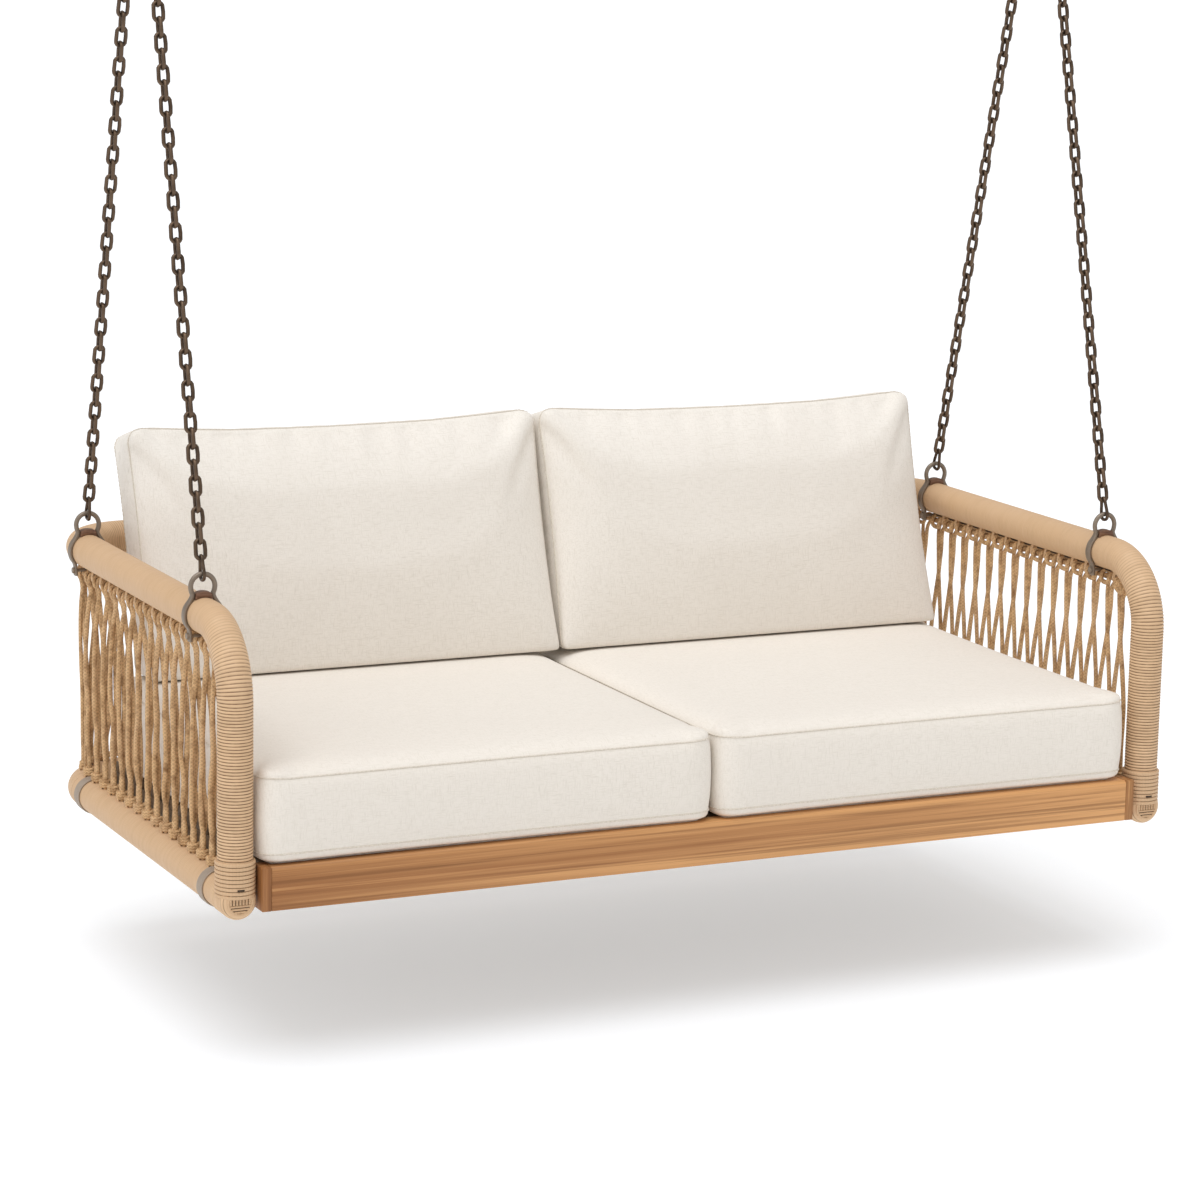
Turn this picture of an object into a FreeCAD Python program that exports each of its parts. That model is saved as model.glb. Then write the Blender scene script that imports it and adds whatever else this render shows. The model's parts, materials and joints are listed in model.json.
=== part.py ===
import FreeCAD, Part
import math
import os

import Sketcher

# A two-seat porch swing: a cord-bound pole frame with knotted rope sides, a slatted timber deck,
# four loose cushions and two V-chains that hang from ceiling eyes.
# X runs to the right as seen from the front, Y to the rear, Z up; millimetres.
# The origin is on the ceiling plane, midway between the two ceiling eyes.

Vector = FreeCAD.Vector
X_AXIS = Vector(1, 0, 0)
Y_AXIS = Vector(0, 1, 0)
Z_AXIS = Vector(0, 0, 1)

# Driving dimensions
SIZES = {
    # pole frame
    "post_spacing": 1700,
    "seat_depth": 860,
    "rail_rise": 432,
    "pole_dia": 58,
    "fit": 0.1,
    "front_bend": 115,
    "rear_bend": 100,
    "upright_offset": 420,
    "upright_dia": 43,
    # post feet
    "foot_dia": 61,
    "foot_tail": 32,
    "nose_reach": 24,
    "nose_round": 12,
    "cap_dia": 34,
    "cap_depth": 6,
    "winding_cord": 4.5,
    "winding_pitch": 5.4,
    "winding_turns": 5,
    # chain hangers on the arms
    "hanger_front_setback": 36,
    "hanger_rear_setback": 12,
    "ring_bar": 8,
    "ring_radius": 20.5,
    "ring_rise": 17,
    "strap_width": 18,
    "strap_depth": 5,
    "strap_tail": 18.0,
    "strap_gap": 0.3,
    "saddle_rise": 11,
    "saddle_width": 20,
    "hanger_bolt_dia": 6.0,
    "bolt_head_width": 10.0,
    "bolt_head_depth": 4.0,
    "nut_depth": 5.0,
    # chains
    "link_wire": 5.2,
    "link_inner": 25.7,
    "link_width": 22,
    "link_crown": 10,
    "link_count": 49,
    "link_play": 0.3,
    "end_link_inner": 34,
    "end_link_width": 26.0,
    "ring_play": 1.4,
    "hook_play": 1.2,
    # ceiling fittings
    "top_ring_radius": 22,
    "top_ring_bar": 6.5,
    "swing_link_inner": 40,
    "swing_link_width": 42,
    "swing_link_bar": 8,
    "eye_bar": 10,
    "eye_radius": 17,
    "eye_drop": 34,
    "plate_length": 90,
    "plate_width": 60,
    "plate_depth": 6,
    "plate_corner": 8,
    "plate_hole_dia": 8.5,
    "plate_hole_run": 66,
    "plate_hole_rise": 36,
    # rope sides
    "rope_dia": 8,
    "holding_cord_dia": 10,
    "rope_play": 0.4,
    "rope_splay": 9.0,
    "rope_meet": 0.42,
    "side_rope_pitch": 46.0,
    "ropes_ahead": 2,
    "bend_ropes": 4,
    "back_ropes": 32,
    "knot_length": 18,
    "knot_gap": 1.2,
    "knot_rise": 11,
    "knot_width": 22,
    # timber deck
    "front_rail_height": 72,
    "front_rail_depth": 40,
    "front_rail_face": 33,
    "deck_top": 55,
    "rail_bevel": 4,
    "end_block_width": 16,
    "end_block_gap": 3.6,
    "side_rail_width": 28,
    "side_rail_setback": 44,
    "deck_rear_gap": 96,
    "slat_count": 9,
    "slat_width": 62,
    "slat_depth": 18,
    "band_clear": 1.5,
    "band_depth": 2.5,
    "band_flange_rise": 36,
    # cushions
    "cushion_play": 0.3,
    "seat_left_clear": 6,
    "seat_right_clear": 22,
    "seat_cushion_gap": 8,
    "seat_cushion_front": 30,
    "seat_cushion_setback": 5,
    "seat_cushion_height": 163,
    "seat_edge_drop": 18,
    "seat_front_corner": 28,
    "seat_rear_corner": 60,
    "draw_in": 6,
    "back_side_clear": 41,
    "back_cushion_gap": 8,
    "back_cushion_setback": 270,
    "back_cushion_depth": 95,
    "back_cushion_height": 432,
    "back_cushion_lean_angle": 16.5,
    "back_cushion_crown": 24,
    "back_cushion_corner": 34,
    "back_edge_round": 26,
}

os.makedirs("parts", exist_ok=True)
doc = FreeCAD.newDocument("porch_swing")
sheet = doc.addObject("Spreadsheet::Sheet", "Sizes")
for row, (alias, value) in enumerate(SIZES.items(), start=1):
    sheet.set(f"A{row}", alias)
    sheet.set(f"B{row}", str(value))
    sheet.setAlias(f"B{row}", alias)
doc.recompute()


def size(alias):
    return float(sheet.get(alias))


def count(alias):
    return int(round(size(alias)))


# Sizes worked out from the driving ones, in the seat's own frame:
# y = 0 on the front posts' centre-line, z = 0 on the lower rails' centre-line.
half_spacing = size("post_spacing") / 2
pole_r = size("pole_dia") / 2
rise = size("rail_rise")
joint_y = size("seat_depth") - size("rear_bend")
foot_r = size("foot_dia") / 2
hanger_y = {
    "front": size("front_bend") + size("hanger_front_setback"),
    "rear": joint_y - size("hanger_rear_setback"),
}
hang_y = (hanger_y["front"] + hanger_y["rear"]) / 2
hang_half = (hanger_y["rear"] - hanger_y["front"]) / 2
wire_half = size("link_wire") / 2

# Heights along the hang line: hanger ring, chain, top ring, swing link, ceiling eye, ceiling
ring_centre_z = rise + pole_r + size("ring_rise")
ring_inside_z = ring_centre_z + size("ring_radius") - size("ring_bar") / 2
low_pivot_z = ring_inside_z - size("ring_play") - wire_half
link_pitch = size("link_inner") - size("link_play")
link_reach = size("link_inner") + size("link_wire")
chain_run = (
    size("end_link_inner") - size("link_play") + (count("link_count") - 1) * link_pitch + link_reach
)
top_ring_hook = (
    size("top_ring_radius") - size("top_ring_bar") / 2 - size("hook_play") - wire_half
)
hang_run = chain_run + top_ring_hook
chain_lean = math.degrees(math.asin(hang_half / hang_run))
top_ring_z = low_pivot_z + math.sqrt(hang_run**2 - hang_half**2)
top_pivot_z = top_ring_z + size("top_ring_radius")
swing_low_z = (
    top_pivot_z - size("top_ring_bar") / 2 - size("link_play") - size("swing_link_bar") / 2
)
swing_pivot_z = swing_low_z + size("swing_link_inner") + size("swing_link_bar")
eye_z = swing_pivot_z - size("swing_link_bar") / 2 - size("link_play") - size("eye_bar") / 2
plate_low_z = eye_z + size("eye_drop")
ceiling_z = plate_low_z + size("plate_depth")
SEAT = Vector(0, -hang_y, -ceiling_z)

nodes = {}


def keep(label, obj, offset=None):
    """Give a finished piece its node name, and move it from the seat's frame to the part's frame."""
    obj.Label = label
    shift = SEAT if offset is None else SEAT + offset
    obj.Placement = FreeCAD.Placement(shift, FreeCAD.Rotation()).multiply(obj.Placement)
    nodes[label] = obj
    return obj


def feature(label, shape):
    """A piece whose shape is worked out in code, kept as one node."""
    obj = doc.addObject("Part::Feature", label)
    obj.Shape = shape
    return keep(label, obj)


def helper(name, kind, **values):
    """A primitive whose properties are bound to cells of the sheet."""
    obj = doc.addObject(kind, name)
    for prop, expression in values.items():
        obj.setExpression(prop.replace("__", "."), expression)
    return obj


def cut(name, base, tool):
    obj = doc.addObject("Part::Cut", name)
    obj.Base = base
    obj.Tool = tool
    return obj


def body_sketch(body, role, name, offset=None):
    """A sketch on one of the body's own origin planes, moved along the plane's normal by a cell."""
    plane = next(f for f in body.Origin.OriginFeatures if f.Role == role)
    sketch = body.newObject("Sketcher::SketchObject", name)
    sketch.AttachmentSupport = (plane, [""])
    sketch.MapMode = "FlatFace"
    if offset:
        sketch.setExpression("AttachmentOffset.Base.z", offset)
    return sketch


def bind(sketch, constraint, name, expression):
    """Add a dimension to a sketch and bind it to the sheet."""
    index = sketch.addConstraint(constraint)
    sketch.renameConstraint(index, name)
    sketch.setExpression(f"Constraints.{name}", expression)


def circles(sketch, radii, off_axis=None):
    """Concentric circles on the sketch's origin, or half the post spacing to its left."""
    for number, (radius, expression) in enumerate(radii):
        centre = Vector(-half_spacing if off_axis else 0, 0, 0)
        geo = sketch.addGeometry(Part.Circle(centre, Z_AXIS, radius), False)
        bind(sketch, Sketcher.Constraint("Radius", geo, radius), f"radius{number}", expression)
        if off_axis:
            sketch.addConstraint(Sketcher.Constraint("PointOnObject", geo, 3, -1))
            bind(
                sketch,
                Sketcher.Constraint("DistanceX", geo, 3, -1, 1, half_spacing),
                f"side{number}",
                off_axis,
            )
        else:
            sketch.addConstraint(Sketcher.Constraint("Coincident", geo, 3, -1, 1))


POLE = [(pole_r, "Sizes.pole_dia / 2")]


def pipe(body, profile, path):
    feature = body.newObject("PartDesign::AdditivePipe", body.Name + "_pipe")
    feature.Profile = profile
    doc.recompute()
    edges = [f"Edge{n + 1}" for n in range(len(path.Shape.Edges))]
    feature.Spine = (path, edges)
    body.Tip = feature
    return body


# Poles, each bound along its whole length: post, front bend and arm rail in one run


def arm(name, radii, foot, foot_expression):
    """A post that rises from the foot height, bends back and runs to the rear joint."""
    body = doc.addObject("PartDesign::Body", name)
    bend = size("front_bend")
    path = body_sketch(body, "YZ_Plane", name + "_path")
    post = path.addGeometry(Part.LineSegment(Vector(0, foot, 0), Vector(0, rise - bend, 0)))
    turn = path.addGeometry(
        Part.ArcOfCircle(
            Part.Circle(Vector(bend, rise - bend, 0), Z_AXIS, bend), math.pi / 2, math.pi
        )
    )
    rail = path.addGeometry(Part.LineSegment(Vector(bend, rise, 0), Vector(joint_y, rise, 0)))
    path.addConstraint(Sketcher.Constraint("PointOnObject", post, 1, -2))
    path.addConstraint(Sketcher.Constraint("Vertical", post))
    path.addConstraint(Sketcher.Constraint("Tangent", post, 2, turn, 2))
    path.addConstraint(Sketcher.Constraint("Tangent", turn, 1, rail, 1))
    path.addConstraint(Sketcher.Constraint("Horizontal", rail))
    bind(path, Sketcher.Constraint("Radius", turn, bend), "bend", "Sizes.front_bend")
    bind(
        path, Sketcher.Constraint("DistanceY", -1, 1, post, 1, foot), "foot", foot_expression
    )
    bind(path, Sketcher.Constraint("DistanceY", -1, 1, rail, 2, rise), "rise", "Sizes.rail_rise")
    bind(
        path,
        Sketcher.Constraint("DistanceX", -1, 1, rail, 2, joint_y),
        "run",
        "Sizes.seat_depth - Sizes.rear_bend",
    )
    profile = body_sketch(body, "XY_Plane", name + "_section", foot_expression)
    circles(profile, radii)
    return pipe(body, profile, path)


def rear_turn(name, radii):
    """A run that bends in from both sides to a straight rear rail, in a level plane."""
    body = doc.addObject("PartDesign::Body", name)
    bend = size("rear_bend")
    straight = half_spacing - bend
    path = body_sketch(body, "XY_Plane", name + "_path")
    left = path.addGeometry(
        Part.ArcOfCircle(Part.Circle(Vector(-straight, 0, 0), Z_AXIS, bend), math.pi / 2, math.pi)
    )
    rail = path.addGeometry(Part.LineSegment(Vector(-straight, bend, 0), Vector(straight, bend, 0)))
    right = path.addGeometry(
        Part.ArcOfCircle(Part.Circle(Vector(straight, 0, 0), Z_AXIS, bend), 0, math.pi / 2)
    )
    path.addConstraint(Sketcher.Constraint("Tangent", left, 1, rail, 1))
    path.addConstraint(Sketcher.Constraint("Tangent", rail, 2, right, 2))
    path.addConstraint(Sketcher.Constraint("Horizontal", rail))
    path.addConstraint(Sketcher.Constraint("PointOnObject", left, 2, -1))
    path.addConstraint(Sketcher.Constraint("PointOnObject", left, 3, -1))
    path.addConstraint(Sketcher.Constraint("Equal", left, right))
    path.addConstraint(Sketcher.Constraint("Symmetric", left, 2, right, 1, -2))
    bind(path, Sketcher.Constraint("Radius", left, bend), "bend", "Sizes.rear_bend")
    bind(
        path,
        Sketcher.Constraint("DistanceX", left, 2, right, 1, 2 * half_spacing),
        "spacing",
        "Sizes.post_spacing",
    )
    profile = body_sketch(body, "XZ_Plane", name + "_section")
    circles(profile, radii, "Sizes.post_spacing / 2")
    return pipe(body, profile, path)


def straight_run(name, radii, length_expression):
    """A straight run that leaves its body's origin along +Y."""
    body = doc.addObject("PartDesign::Body", name)
    profile = body_sketch(body, "XZ_Plane", name + "_section")
    circles(profile, radii)
    pad = body.newObject("PartDesign::Pad", name + "_pad")
    pad.Profile = profile
    pad.Reversed = True
    pad.setExpression("Length", length_expression)
    body.Tip = pad
    return body


for side, sign in (("left", -1), ("right", 1)):
    across = Vector(sign * half_spacing, 0, 0)
    raw_pole = arm(f"{side}_arm_core", POLE, foot_r / 2, "Sizes.foot_dia / 4")
    cope = helper(
        f"{side}_post_cope",
        "Part::Cylinder",
        Radius="Sizes.foot_dia / 2 + Sizes.fit",
        Height="Sizes.foot_dia * 2",
    )
    cope.Placement = FreeCAD.Placement(
        Vector(0, -size("foot_dia"), 0), FreeCAD.Rotation(X_AXIS, -90)
    )
    keep(f"{side}_arm_pole", cut(f"{side}_arm_cut", raw_pole, cope), across)
    rail = straight_run(
        f"{side}_rail_core", POLE, "Sizes.seat_depth - Sizes.rear_bend - Sizes.foot_tail - Sizes.fit"
    )
    rail_start = size("foot_tail") + size("fit")
    keep(f"{side}_lower_pole", rail, across + Vector(0, rail_start, 0))

rear_start = Vector(0, joint_y, 0)
top_start = Vector(0, joint_y, rise)
keep("back_pole", rear_turn("back_core", POLE), top_start)
keep("lower_back_pole", rear_turn("lower_back_core", POLE), rear_start)


# Rear uprights between the two rear rails, coped to both and drilled for the holding cord

rope_r = size("rope_dia") / 2
cord_r = size("holding_cord_dia") / 2
cord_drop = pole_r + size("rope_play") + 2 * rope_r + size("rope_play") + cord_r
cord_z = rise - cord_drop


def upright():
    """One round upright with saddle-cut ends, standing on the lower rear rail."""
    radius = size("upright_dia") / 2
    shape = Part.makeCylinder(radius, rise)
    along = 2 * radius + size("pole_dia")
    for height in (0, rise):
        start = Vector(-along / 2, 0, height)
        shape = shape.cut(Part.makeCylinder(pole_r + size("fit"), along, start, X_AXIS))
    drilled = cord_r + size("rope_play")
    start = Vector(-along / 2, 0, cord_z)
    return shape.cut(Part.makeCylinder(drilled, along, start, X_AXIS))


uprights = []
for sign in (-1, 1):
    place = Vector(sign * size("upright_offset"), size("seat_depth"), 0)
    uprights.append(upright().translated(place))
feature("rear_uprights", Part.makeCompound(uprights))


# Feet: a bullnose under each post, its round cap, and the winding just above it


def post_foot():
    """The bullnose that the post stands on and the lower rail butts, recessed for the cap."""
    nose = -size("nose_reach")
    tail = size("foot_tail")
    turn = size("nose_round")
    cap_r = size("cap_dia") / 2 + size("fit")
    floor = nose + size("cap_depth")
    middle = turn * (1 - math.sqrt(0.5))
    outline = [
        Part.makeLine(Vector(0, floor, 0), Vector(0, tail, 0)),
        Part.makeLine(Vector(0, tail, 0), Vector(0, tail, foot_r)),
        Part.makeLine(Vector(0, tail, foot_r), Vector(0, nose + turn, foot_r)),
        Part.Arc(
            Vector(0, nose + turn, foot_r),
            Vector(0, nose + middle, foot_r - middle),
            Vector(0, nose, foot_r - turn),
        ).toShape(),
        Part.makeLine(Vector(0, nose, foot_r - turn), Vector(0, nose, cap_r)),
        Part.makeLine(Vector(0, nose, cap_r), Vector(0, floor, cap_r)),
        Part.makeLine(Vector(0, floor, cap_r), Vector(0, floor, 0)),
    ]
    return Part.Face(Part.Wire(outline)).revolve(Vector(0, 0, 0), Y_AXIS, 360)


def end_cap():
    """A shallow disc with a tapered rim that fills the recess in the bullnose."""
    radius = size("cap_dia") / 2
    depth = size("cap_depth") - size("fit")
    floor = Vector(0, size("cap_depth") - size("nose_reach") - size("fit"), 0)
    forward = Vector(0, -1, 0)
    disc = Part.makeCylinder(radius, depth / 2, floor, forward)
    front = Part.makeCone(radius, radius * 0.75, depth / 2, floor + forward * (depth / 2), forward)
    return disc.fuse(front)


def foot_winding():
    """One unbroken cord wound round the post just above the foot, with short straight ends."""
    cord = size("winding_cord")
    pitch = size("winding_pitch")
    radius = pole_r + cord / 2 + 2 * size("fit")
    start_z = foot_r + cord * 1.2
    quarters = count("winding_turns") * 4

    def at(quarter):
        angle = math.pi / 2 * quarter
        height = start_z + pitch * quarter / 4
        return Vector(radius * math.cos(angle), radius * math.sin(angle), height)

    climb = pitch / (2 * math.pi * radius)
    lead = Vector(0, -cord, -climb * cord)
    edges = [Part.makeLine(at(0) + lead, at(0))]
    for quarter in range(quarters):
        edges.append(Part.Arc(at(quarter), at(quarter + 0.5), at(quarter + 1)).toShape())
    edges.append(Part.makeLine(at(quarters), at(quarters) - lead))
    corners = []
    for side in range(5):
        angle = math.radians(90 * side)
        across = Vector(math.cos(angle), 0, math.sin(angle)) * (cord / 2)
        corners.append(at(0) + lead + across)
    section = Part.makePolygon(corners)
    print("foot winding: least gap between turns", round(pitch - cord, 2), "mm")
    return Part.Wire(edges).makePipeShell([section], True, False)


caps = []
for side, sign in (("left", -1), ("right", 1)):
    across = Vector(sign * half_spacing, 0, 0)
    feature(f"{side}_post_foot", post_foot().translated(across))
    feature(f"{side}_foot_winding", foot_winding().translated(across))
    caps.append(end_cap().translated(across))
feature("rail_end_caps", Part.makeCompound(caps))


# Faceted bars for what repeats: links and ropes


def solid_from(loops):
    """A closed solid from flat faces, each given as a loop of points."""
    faces = [Part.Face(Part.makePolygon(loop + [loop[0]])) for loop in loops]
    shell = Part.makeShell(faces)
    shell.sewShape()
    return Part.makeSolid(shell)


def unit(vector):
    return Vector(vector).normalize()


def mitred(points, first_section, closed):
    """Carry a section's corners along a run of points, mitred at every turn."""
    total = len(points)
    last = total if closed else total - 1
    runs = [unit(points[(n + 1) % total] - points[n]) for n in range(last)]
    rings = []
    corners = list(first_section)
    for n in range(total):
        before = runs[n - 1] if closed or n > 0 else runs[0]
        after = runs[n % last] if closed or n < last else runs[last - 1]
        plane = unit(before + after)
        along = before if n > 0 else after
        moved = []
        for corner in corners:
            step = (points[n] - corner).dot(plane) / along.dot(plane)
            moved.append(corner + along * step)
        corners = moved
        rings.append(corners)
    return rings


def bar(points, first_section, closed=False):
    """A bar with flat sides along a run of points: a loop, or an open run with square ends."""
    rings = mitred(points, first_section, closed)
    sides = len(first_section)
    loops = []
    pairs = len(rings) if closed else len(rings) - 1
    for n in range(pairs):
        here = rings[n]
        there = rings[(n + 1) % len(rings)]
        for k in range(sides):
            nxt = (k + 1) % sides
            loops.append([here[k], here[nxt], there[nxt], there[k]])
    if not closed:
        loops.append(list(reversed(rings[0])))
        loops.append(list(rings[-1]))
    return solid_from(loops)


def section_of(sides, centre, axes, radius):
    """The corners of a regular section round a run, with flat sides along its first axis."""
    first, second = axes
    corner_r = radius / math.cos(math.pi / sides)
    corners = []
    for n in range(sides):
        angle = math.pi * (2 * n + 1) / sides
        corners.append(
            centre + first * (corner_r * math.cos(angle)) + second * (corner_r * math.sin(angle))
        )
    return corners


# Chains: each hangs from its top ring to a hanger ring, end link first


def oval(inner, low_crown, high_crown, belly):
    """A six-sided link in the X-Z plane, its lower crown's wire on the origin."""
    reach = inner + size("link_wire")
    points = [
        Vector(-low_crown / 2, 0, 0),
        Vector(low_crown / 2, 0, 0),
        Vector(belly / 2, 0, reach / 2),
        Vector(high_crown / 2, 0, reach),
        Vector(-high_crown / 2, 0, reach),
        Vector(-belly / 2, 0, reach / 2),
    ]
    section = section_of(4, points[0], (Y_AXIS, Z_AXIS), wire_half)
    return bar(points, section, closed=True)


belly = size("link_width") - size("link_wire")
end_belly = size("end_link_width") - size("link_wire")
plain_link = oval(size("link_inner"), size("link_crown"), size("link_crown"), belly)
end_link = oval(size("end_link_inner"), end_belly, size("link_crown"), end_belly)
quarter_turn = FreeCAD.Rotation(Z_AXIS, 90)


def chain_links():
    """Every link above the end link, turned a quarter from its neighbours, along +Z."""
    links = []
    height = size("end_link_inner") - size("link_play")
    for number in range(count("link_count")):
        link = plain_link.copy()
        turn = FreeCAD.Rotation() if number % 2 == 0 else quarter_turn
        link.Placement = FreeCAD.Placement(Vector(0, 0, height + number * link_pitch), turn)
        links.append(link)
    return links


def hung(shapes, x, y):
    """Lean a chain from its hanger to the top ring over the seat's middle."""
    lean = chain_lean if y > hang_y else -chain_lean
    place = FreeCAD.Placement(Vector(x, y, low_pivot_z), FreeCAD.Rotation(X_AXIS, lean))
    placed = []
    for shape in shapes:
        copy = shape.copy()
        copy.Placement = place.multiply(shape.Placement)
        placed.append(copy)
    return placed


turned_end = end_link.copy()
turned_end.Placement = FreeCAD.Placement(Vector(0, 0, 0), quarter_turn)
for side, sign in (("left", -1), ("right", 1)):
    end_links = []
    for place in ("front", "rear"):
        placed = hung(chain_links(), sign * half_spacing, hanger_y[place])
        feature(f"{side}_{place}_chain", Part.makeCompound(placed))
        end_links += hung([turned_end], sign * half_spacing, hanger_y[place])
    feature(f"{side}_end_links", Part.makeCompound(end_links))


# Top rings, swing links and ceiling eyes


def ring_corners(radius, centre, axes, numbers):
    """Corners of a twelve-sided ring whose flats touch a circle, numbered round from 15 degrees."""
    first, second = axes
    reach = radius / math.cos(math.pi / 12)
    corners = []
    for n in numbers:
        angle = math.pi / 6 * (n + 0.5)
        corners.append(
            centre + first * (reach * math.cos(angle)) + second * (reach * math.sin(angle))
        )
    return corners


def ring_section(points, centre, across, radius, sides=6):
    """A section on the first run of a ring, with a flat towards the ring's middle."""
    start = (points[0] + points[1]) * 0.5
    return section_of(sides, start, (unit(start - centre), across), radius)


def top_ring():
    """The closed ring that both chains hook into, in the Y-Z plane."""
    points = ring_corners(size("top_ring_radius"), Vector(), (Y_AXIS, Z_AXIS), range(12))
    section = ring_section(points, Vector(), X_AXIS, size("top_ring_bar") / 2)
    return bar(points, section, closed=True)


def swing_link():
    """A closed oval link in the X-Z plane, its top wire on the origin."""
    bar_r = size("swing_link_bar") / 2
    turn = size("swing_link_width") / 2 - bar_r
    drop = size("swing_link_inner") + size("swing_link_bar")
    high = Vector(0, 0, -turn)
    low = Vector(0, 0, turn - drop)
    points = ring_corners(turn, high, (X_AXIS, Z_AXIS), range(6))
    points += ring_corners(turn, low, (X_AXIS, Z_AXIS), range(6, 12))
    return bar(points, ring_section(points, high, Y_AXIS, bar_r, sides=12), closed=True)


def ceiling_eye():
    """A screw plate with a bar eye below it; the eye's lowest wire is on the origin."""
    bar_r = size("eye_bar") / 2
    turn = size("eye_radius")
    plate = Part.makeBox(
        size("plate_length"),
        size("plate_width"),
        size("plate_depth"),
        Vector(-size("plate_length") / 2, -size("plate_width") / 2, size("eye_drop")),
    )
    uprights = [e for e in plate.Edges if abs(e.tangentAt(e.FirstParameter).z) > 0.9]
    plate = plate.makeFillet(size("plate_corner"), uprights)
    for a in (-1, 1):
        for b in (-1, 1):
            centre = Vector(
                a * size("plate_hole_run") / 2, b * size("plate_hole_rise") / 2, size("eye_drop")
            )
            hole = Part.makeCylinder(size("plate_hole_dia") / 2, size("plate_depth"), centre)
            plate = plate.cut(hole)
    leg_top = size("eye_drop") + size("plate_depth") / 2
    points = [Vector(0, -turn, leg_top)]
    points += ring_corners(turn, Z_AXIS * turn, (Y_AXIS, Z_AXIS), range(6, 12))
    points.append(Vector(0, turn, leg_top))
    section = section_of(6, points[0], (Y_AXIS, X_AXIS), bar_r)
    return plate.fuse(bar(points, section)).removeSplitter()


for side, sign in (("left", -1), ("right", 1)):
    across = Vector(sign * half_spacing, hang_y, 0)
    feature(f"{side}_top_ring", top_ring().translated(across + Z_AXIS * top_ring_z))
    feature(f"{side}_swing_link", swing_link().translated(across + Z_AXIS * swing_pivot_z))
    feature(f"{side}_ceiling_eye", ceiling_eye().translated(across + Z_AXIS * eye_z))


# Hangers: a ring whose legs flare into a strap on both sides of the arm, a saddle and a cross bolt

strap_in = pole_r + size("strap_gap")
strap_out = strap_in + size("strap_depth")
bolt_r = size("hanger_bolt_dia") / 2
bolt_drop = (pole_r + cord_drop - cord_r) / 2
strap_low = bolt_drop + size("strap_tail") / 2


def hanger():
    """The ring and its two strap legs as one forging, centred on the arm's axis."""
    ring_z = pole_r + size("ring_rise")
    bar_r = size("ring_bar") / 2
    radius = size("ring_radius")
    centre = Z_AXIS * ring_z
    points = ring_corners(radius, centre, (X_AXIS, Z_AXIS), range(-1, 7))
    ring = bar(points, ring_section(points, centre, Y_AXIS, bar_r))
    below = ring_z - radius / 2
    pieces = []
    for sign in (-1, 1):
        outline = [
            Vector(sign * (radius - bar_r), 0, below),
            Vector(sign * strap_in, 0, pole_r * 0.8),
            Vector(sign * strap_in, 0, -strap_low),
            Vector(sign * strap_out, 0, -strap_low),
            Vector(sign * strap_out, 0, pole_r * 0.8 + size("strap_depth")),
            Vector(sign * (radius + bar_r), 0, ring_z - radius / 4),
            Vector(sign * radius, 0, ring_z),
        ]
        face = Part.Face(Part.makePolygon(outline + [outline[0]]))
        face.translate(Vector(0, -size("strap_width") / 2, 0))
        pieces.append(face.extrude(Y_AXIS * size("strap_width")))
    forged = ring.fuse(pieces)
    bolt_start = Vector(-strap_out * 2, 0, -bolt_drop)
    clearance_r = bolt_r + size("strap_gap")
    return forged.cut(Part.makeCylinder(clearance_r, strap_out * 4, bolt_start, X_AXIS))


def saddle():
    """The arched block that sits on the arm inside the hanger's mouth."""
    depth = size("saddle_width")
    arm_r = pole_r + size("strap_gap")
    top_half = size("ring_radius") * 0.6
    foot_half = size("ring_radius") * 0.75
    top = pole_r + size("saddle_rise")
    shoulder = pole_r + size("saddle_rise") / 2
    foot = math.sqrt(arm_r**2 - foot_half**2)
    outline = [
        Part.Arc(Vector(-foot_half, 0, foot), Vector(0, 0, arm_r), Vector(foot_half, 0, foot)).toShape(),
        Part.makeLine(Vector(foot_half, 0, foot), Vector(top_half, 0, shoulder)),
        Part.makeLine(Vector(top_half, 0, shoulder), Vector(top_half, 0, top)),
        Part.makeLine(Vector(top_half, 0, top), Vector(-top_half, 0, top)),
        Part.makeLine(Vector(-top_half, 0, top), Vector(-top_half, 0, shoulder)),
        Part.makeLine(Vector(-top_half, 0, shoulder), Vector(-foot_half, 0, foot)),
    ]
    face = Part.Face(Part.Wire(outline))
    face.translate(Vector(0, -depth / 2, 0))
    return face.extrude(Y_AXIS * depth)


def cross_bolt():
    """A hexagon-headed bolt through both strap tails."""
    start = -strap_out
    shank_run = 2 * strap_out + size("nut_depth") + size("strap_gap")
    shank = Part.makeCylinder(bolt_r, shank_run, Vector(start, 0, -bolt_drop), X_AXIS)
    head_start = Vector(start - size("bolt_head_depth"), 0, -bolt_drop)
    head = hexagon(head_start, size("bolt_head_depth"))
    return head.fuse(shank)


def hexagon(start, depth):
    """A hexagon prism along X, across-flats by the bolt's head width."""
    corner_r = size("bolt_head_width") / math.sqrt(3)
    corners = []
    for n in range(7):
        angle = math.radians(60 * n)
        corners.append(start + Vector(0, corner_r * math.cos(angle), corner_r * math.sin(angle)))
    return Part.Face(Part.makePolygon(corners)).extrude(X_AXIS * depth)


def hanger_nut():
    """The nut on the bolt's far end, bored a little over the shank."""
    start = Vector(strap_out, 0, -bolt_drop)
    bore = Part.makeCylinder(bolt_r + size("fit"), size("nut_depth"), start, X_AXIS)
    return hexagon(start, size("nut_depth")).cut(bore)


saddles = []
bolts = []
nuts = []
for side, sign in (("left", -1), ("right", 1)):
    for place in ("front", "rear"):
        spot = Vector(sign * half_spacing, hanger_y[place], rise)
        feature(f"{side}_{place}_hanger", hanger().translated(spot))
        saddles.append(saddle().translated(spot))
        bolts.append(cross_bolt().translated(spot))
        nuts.append(hanger_nut().translated(spot))
feature("hanger_saddles", Part.makeCompound(saddles))
feature("hanger_bolts", Part.makeCompound(bolts))
feature("hanger_nuts", Part.makeCompound(nuts))


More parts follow.
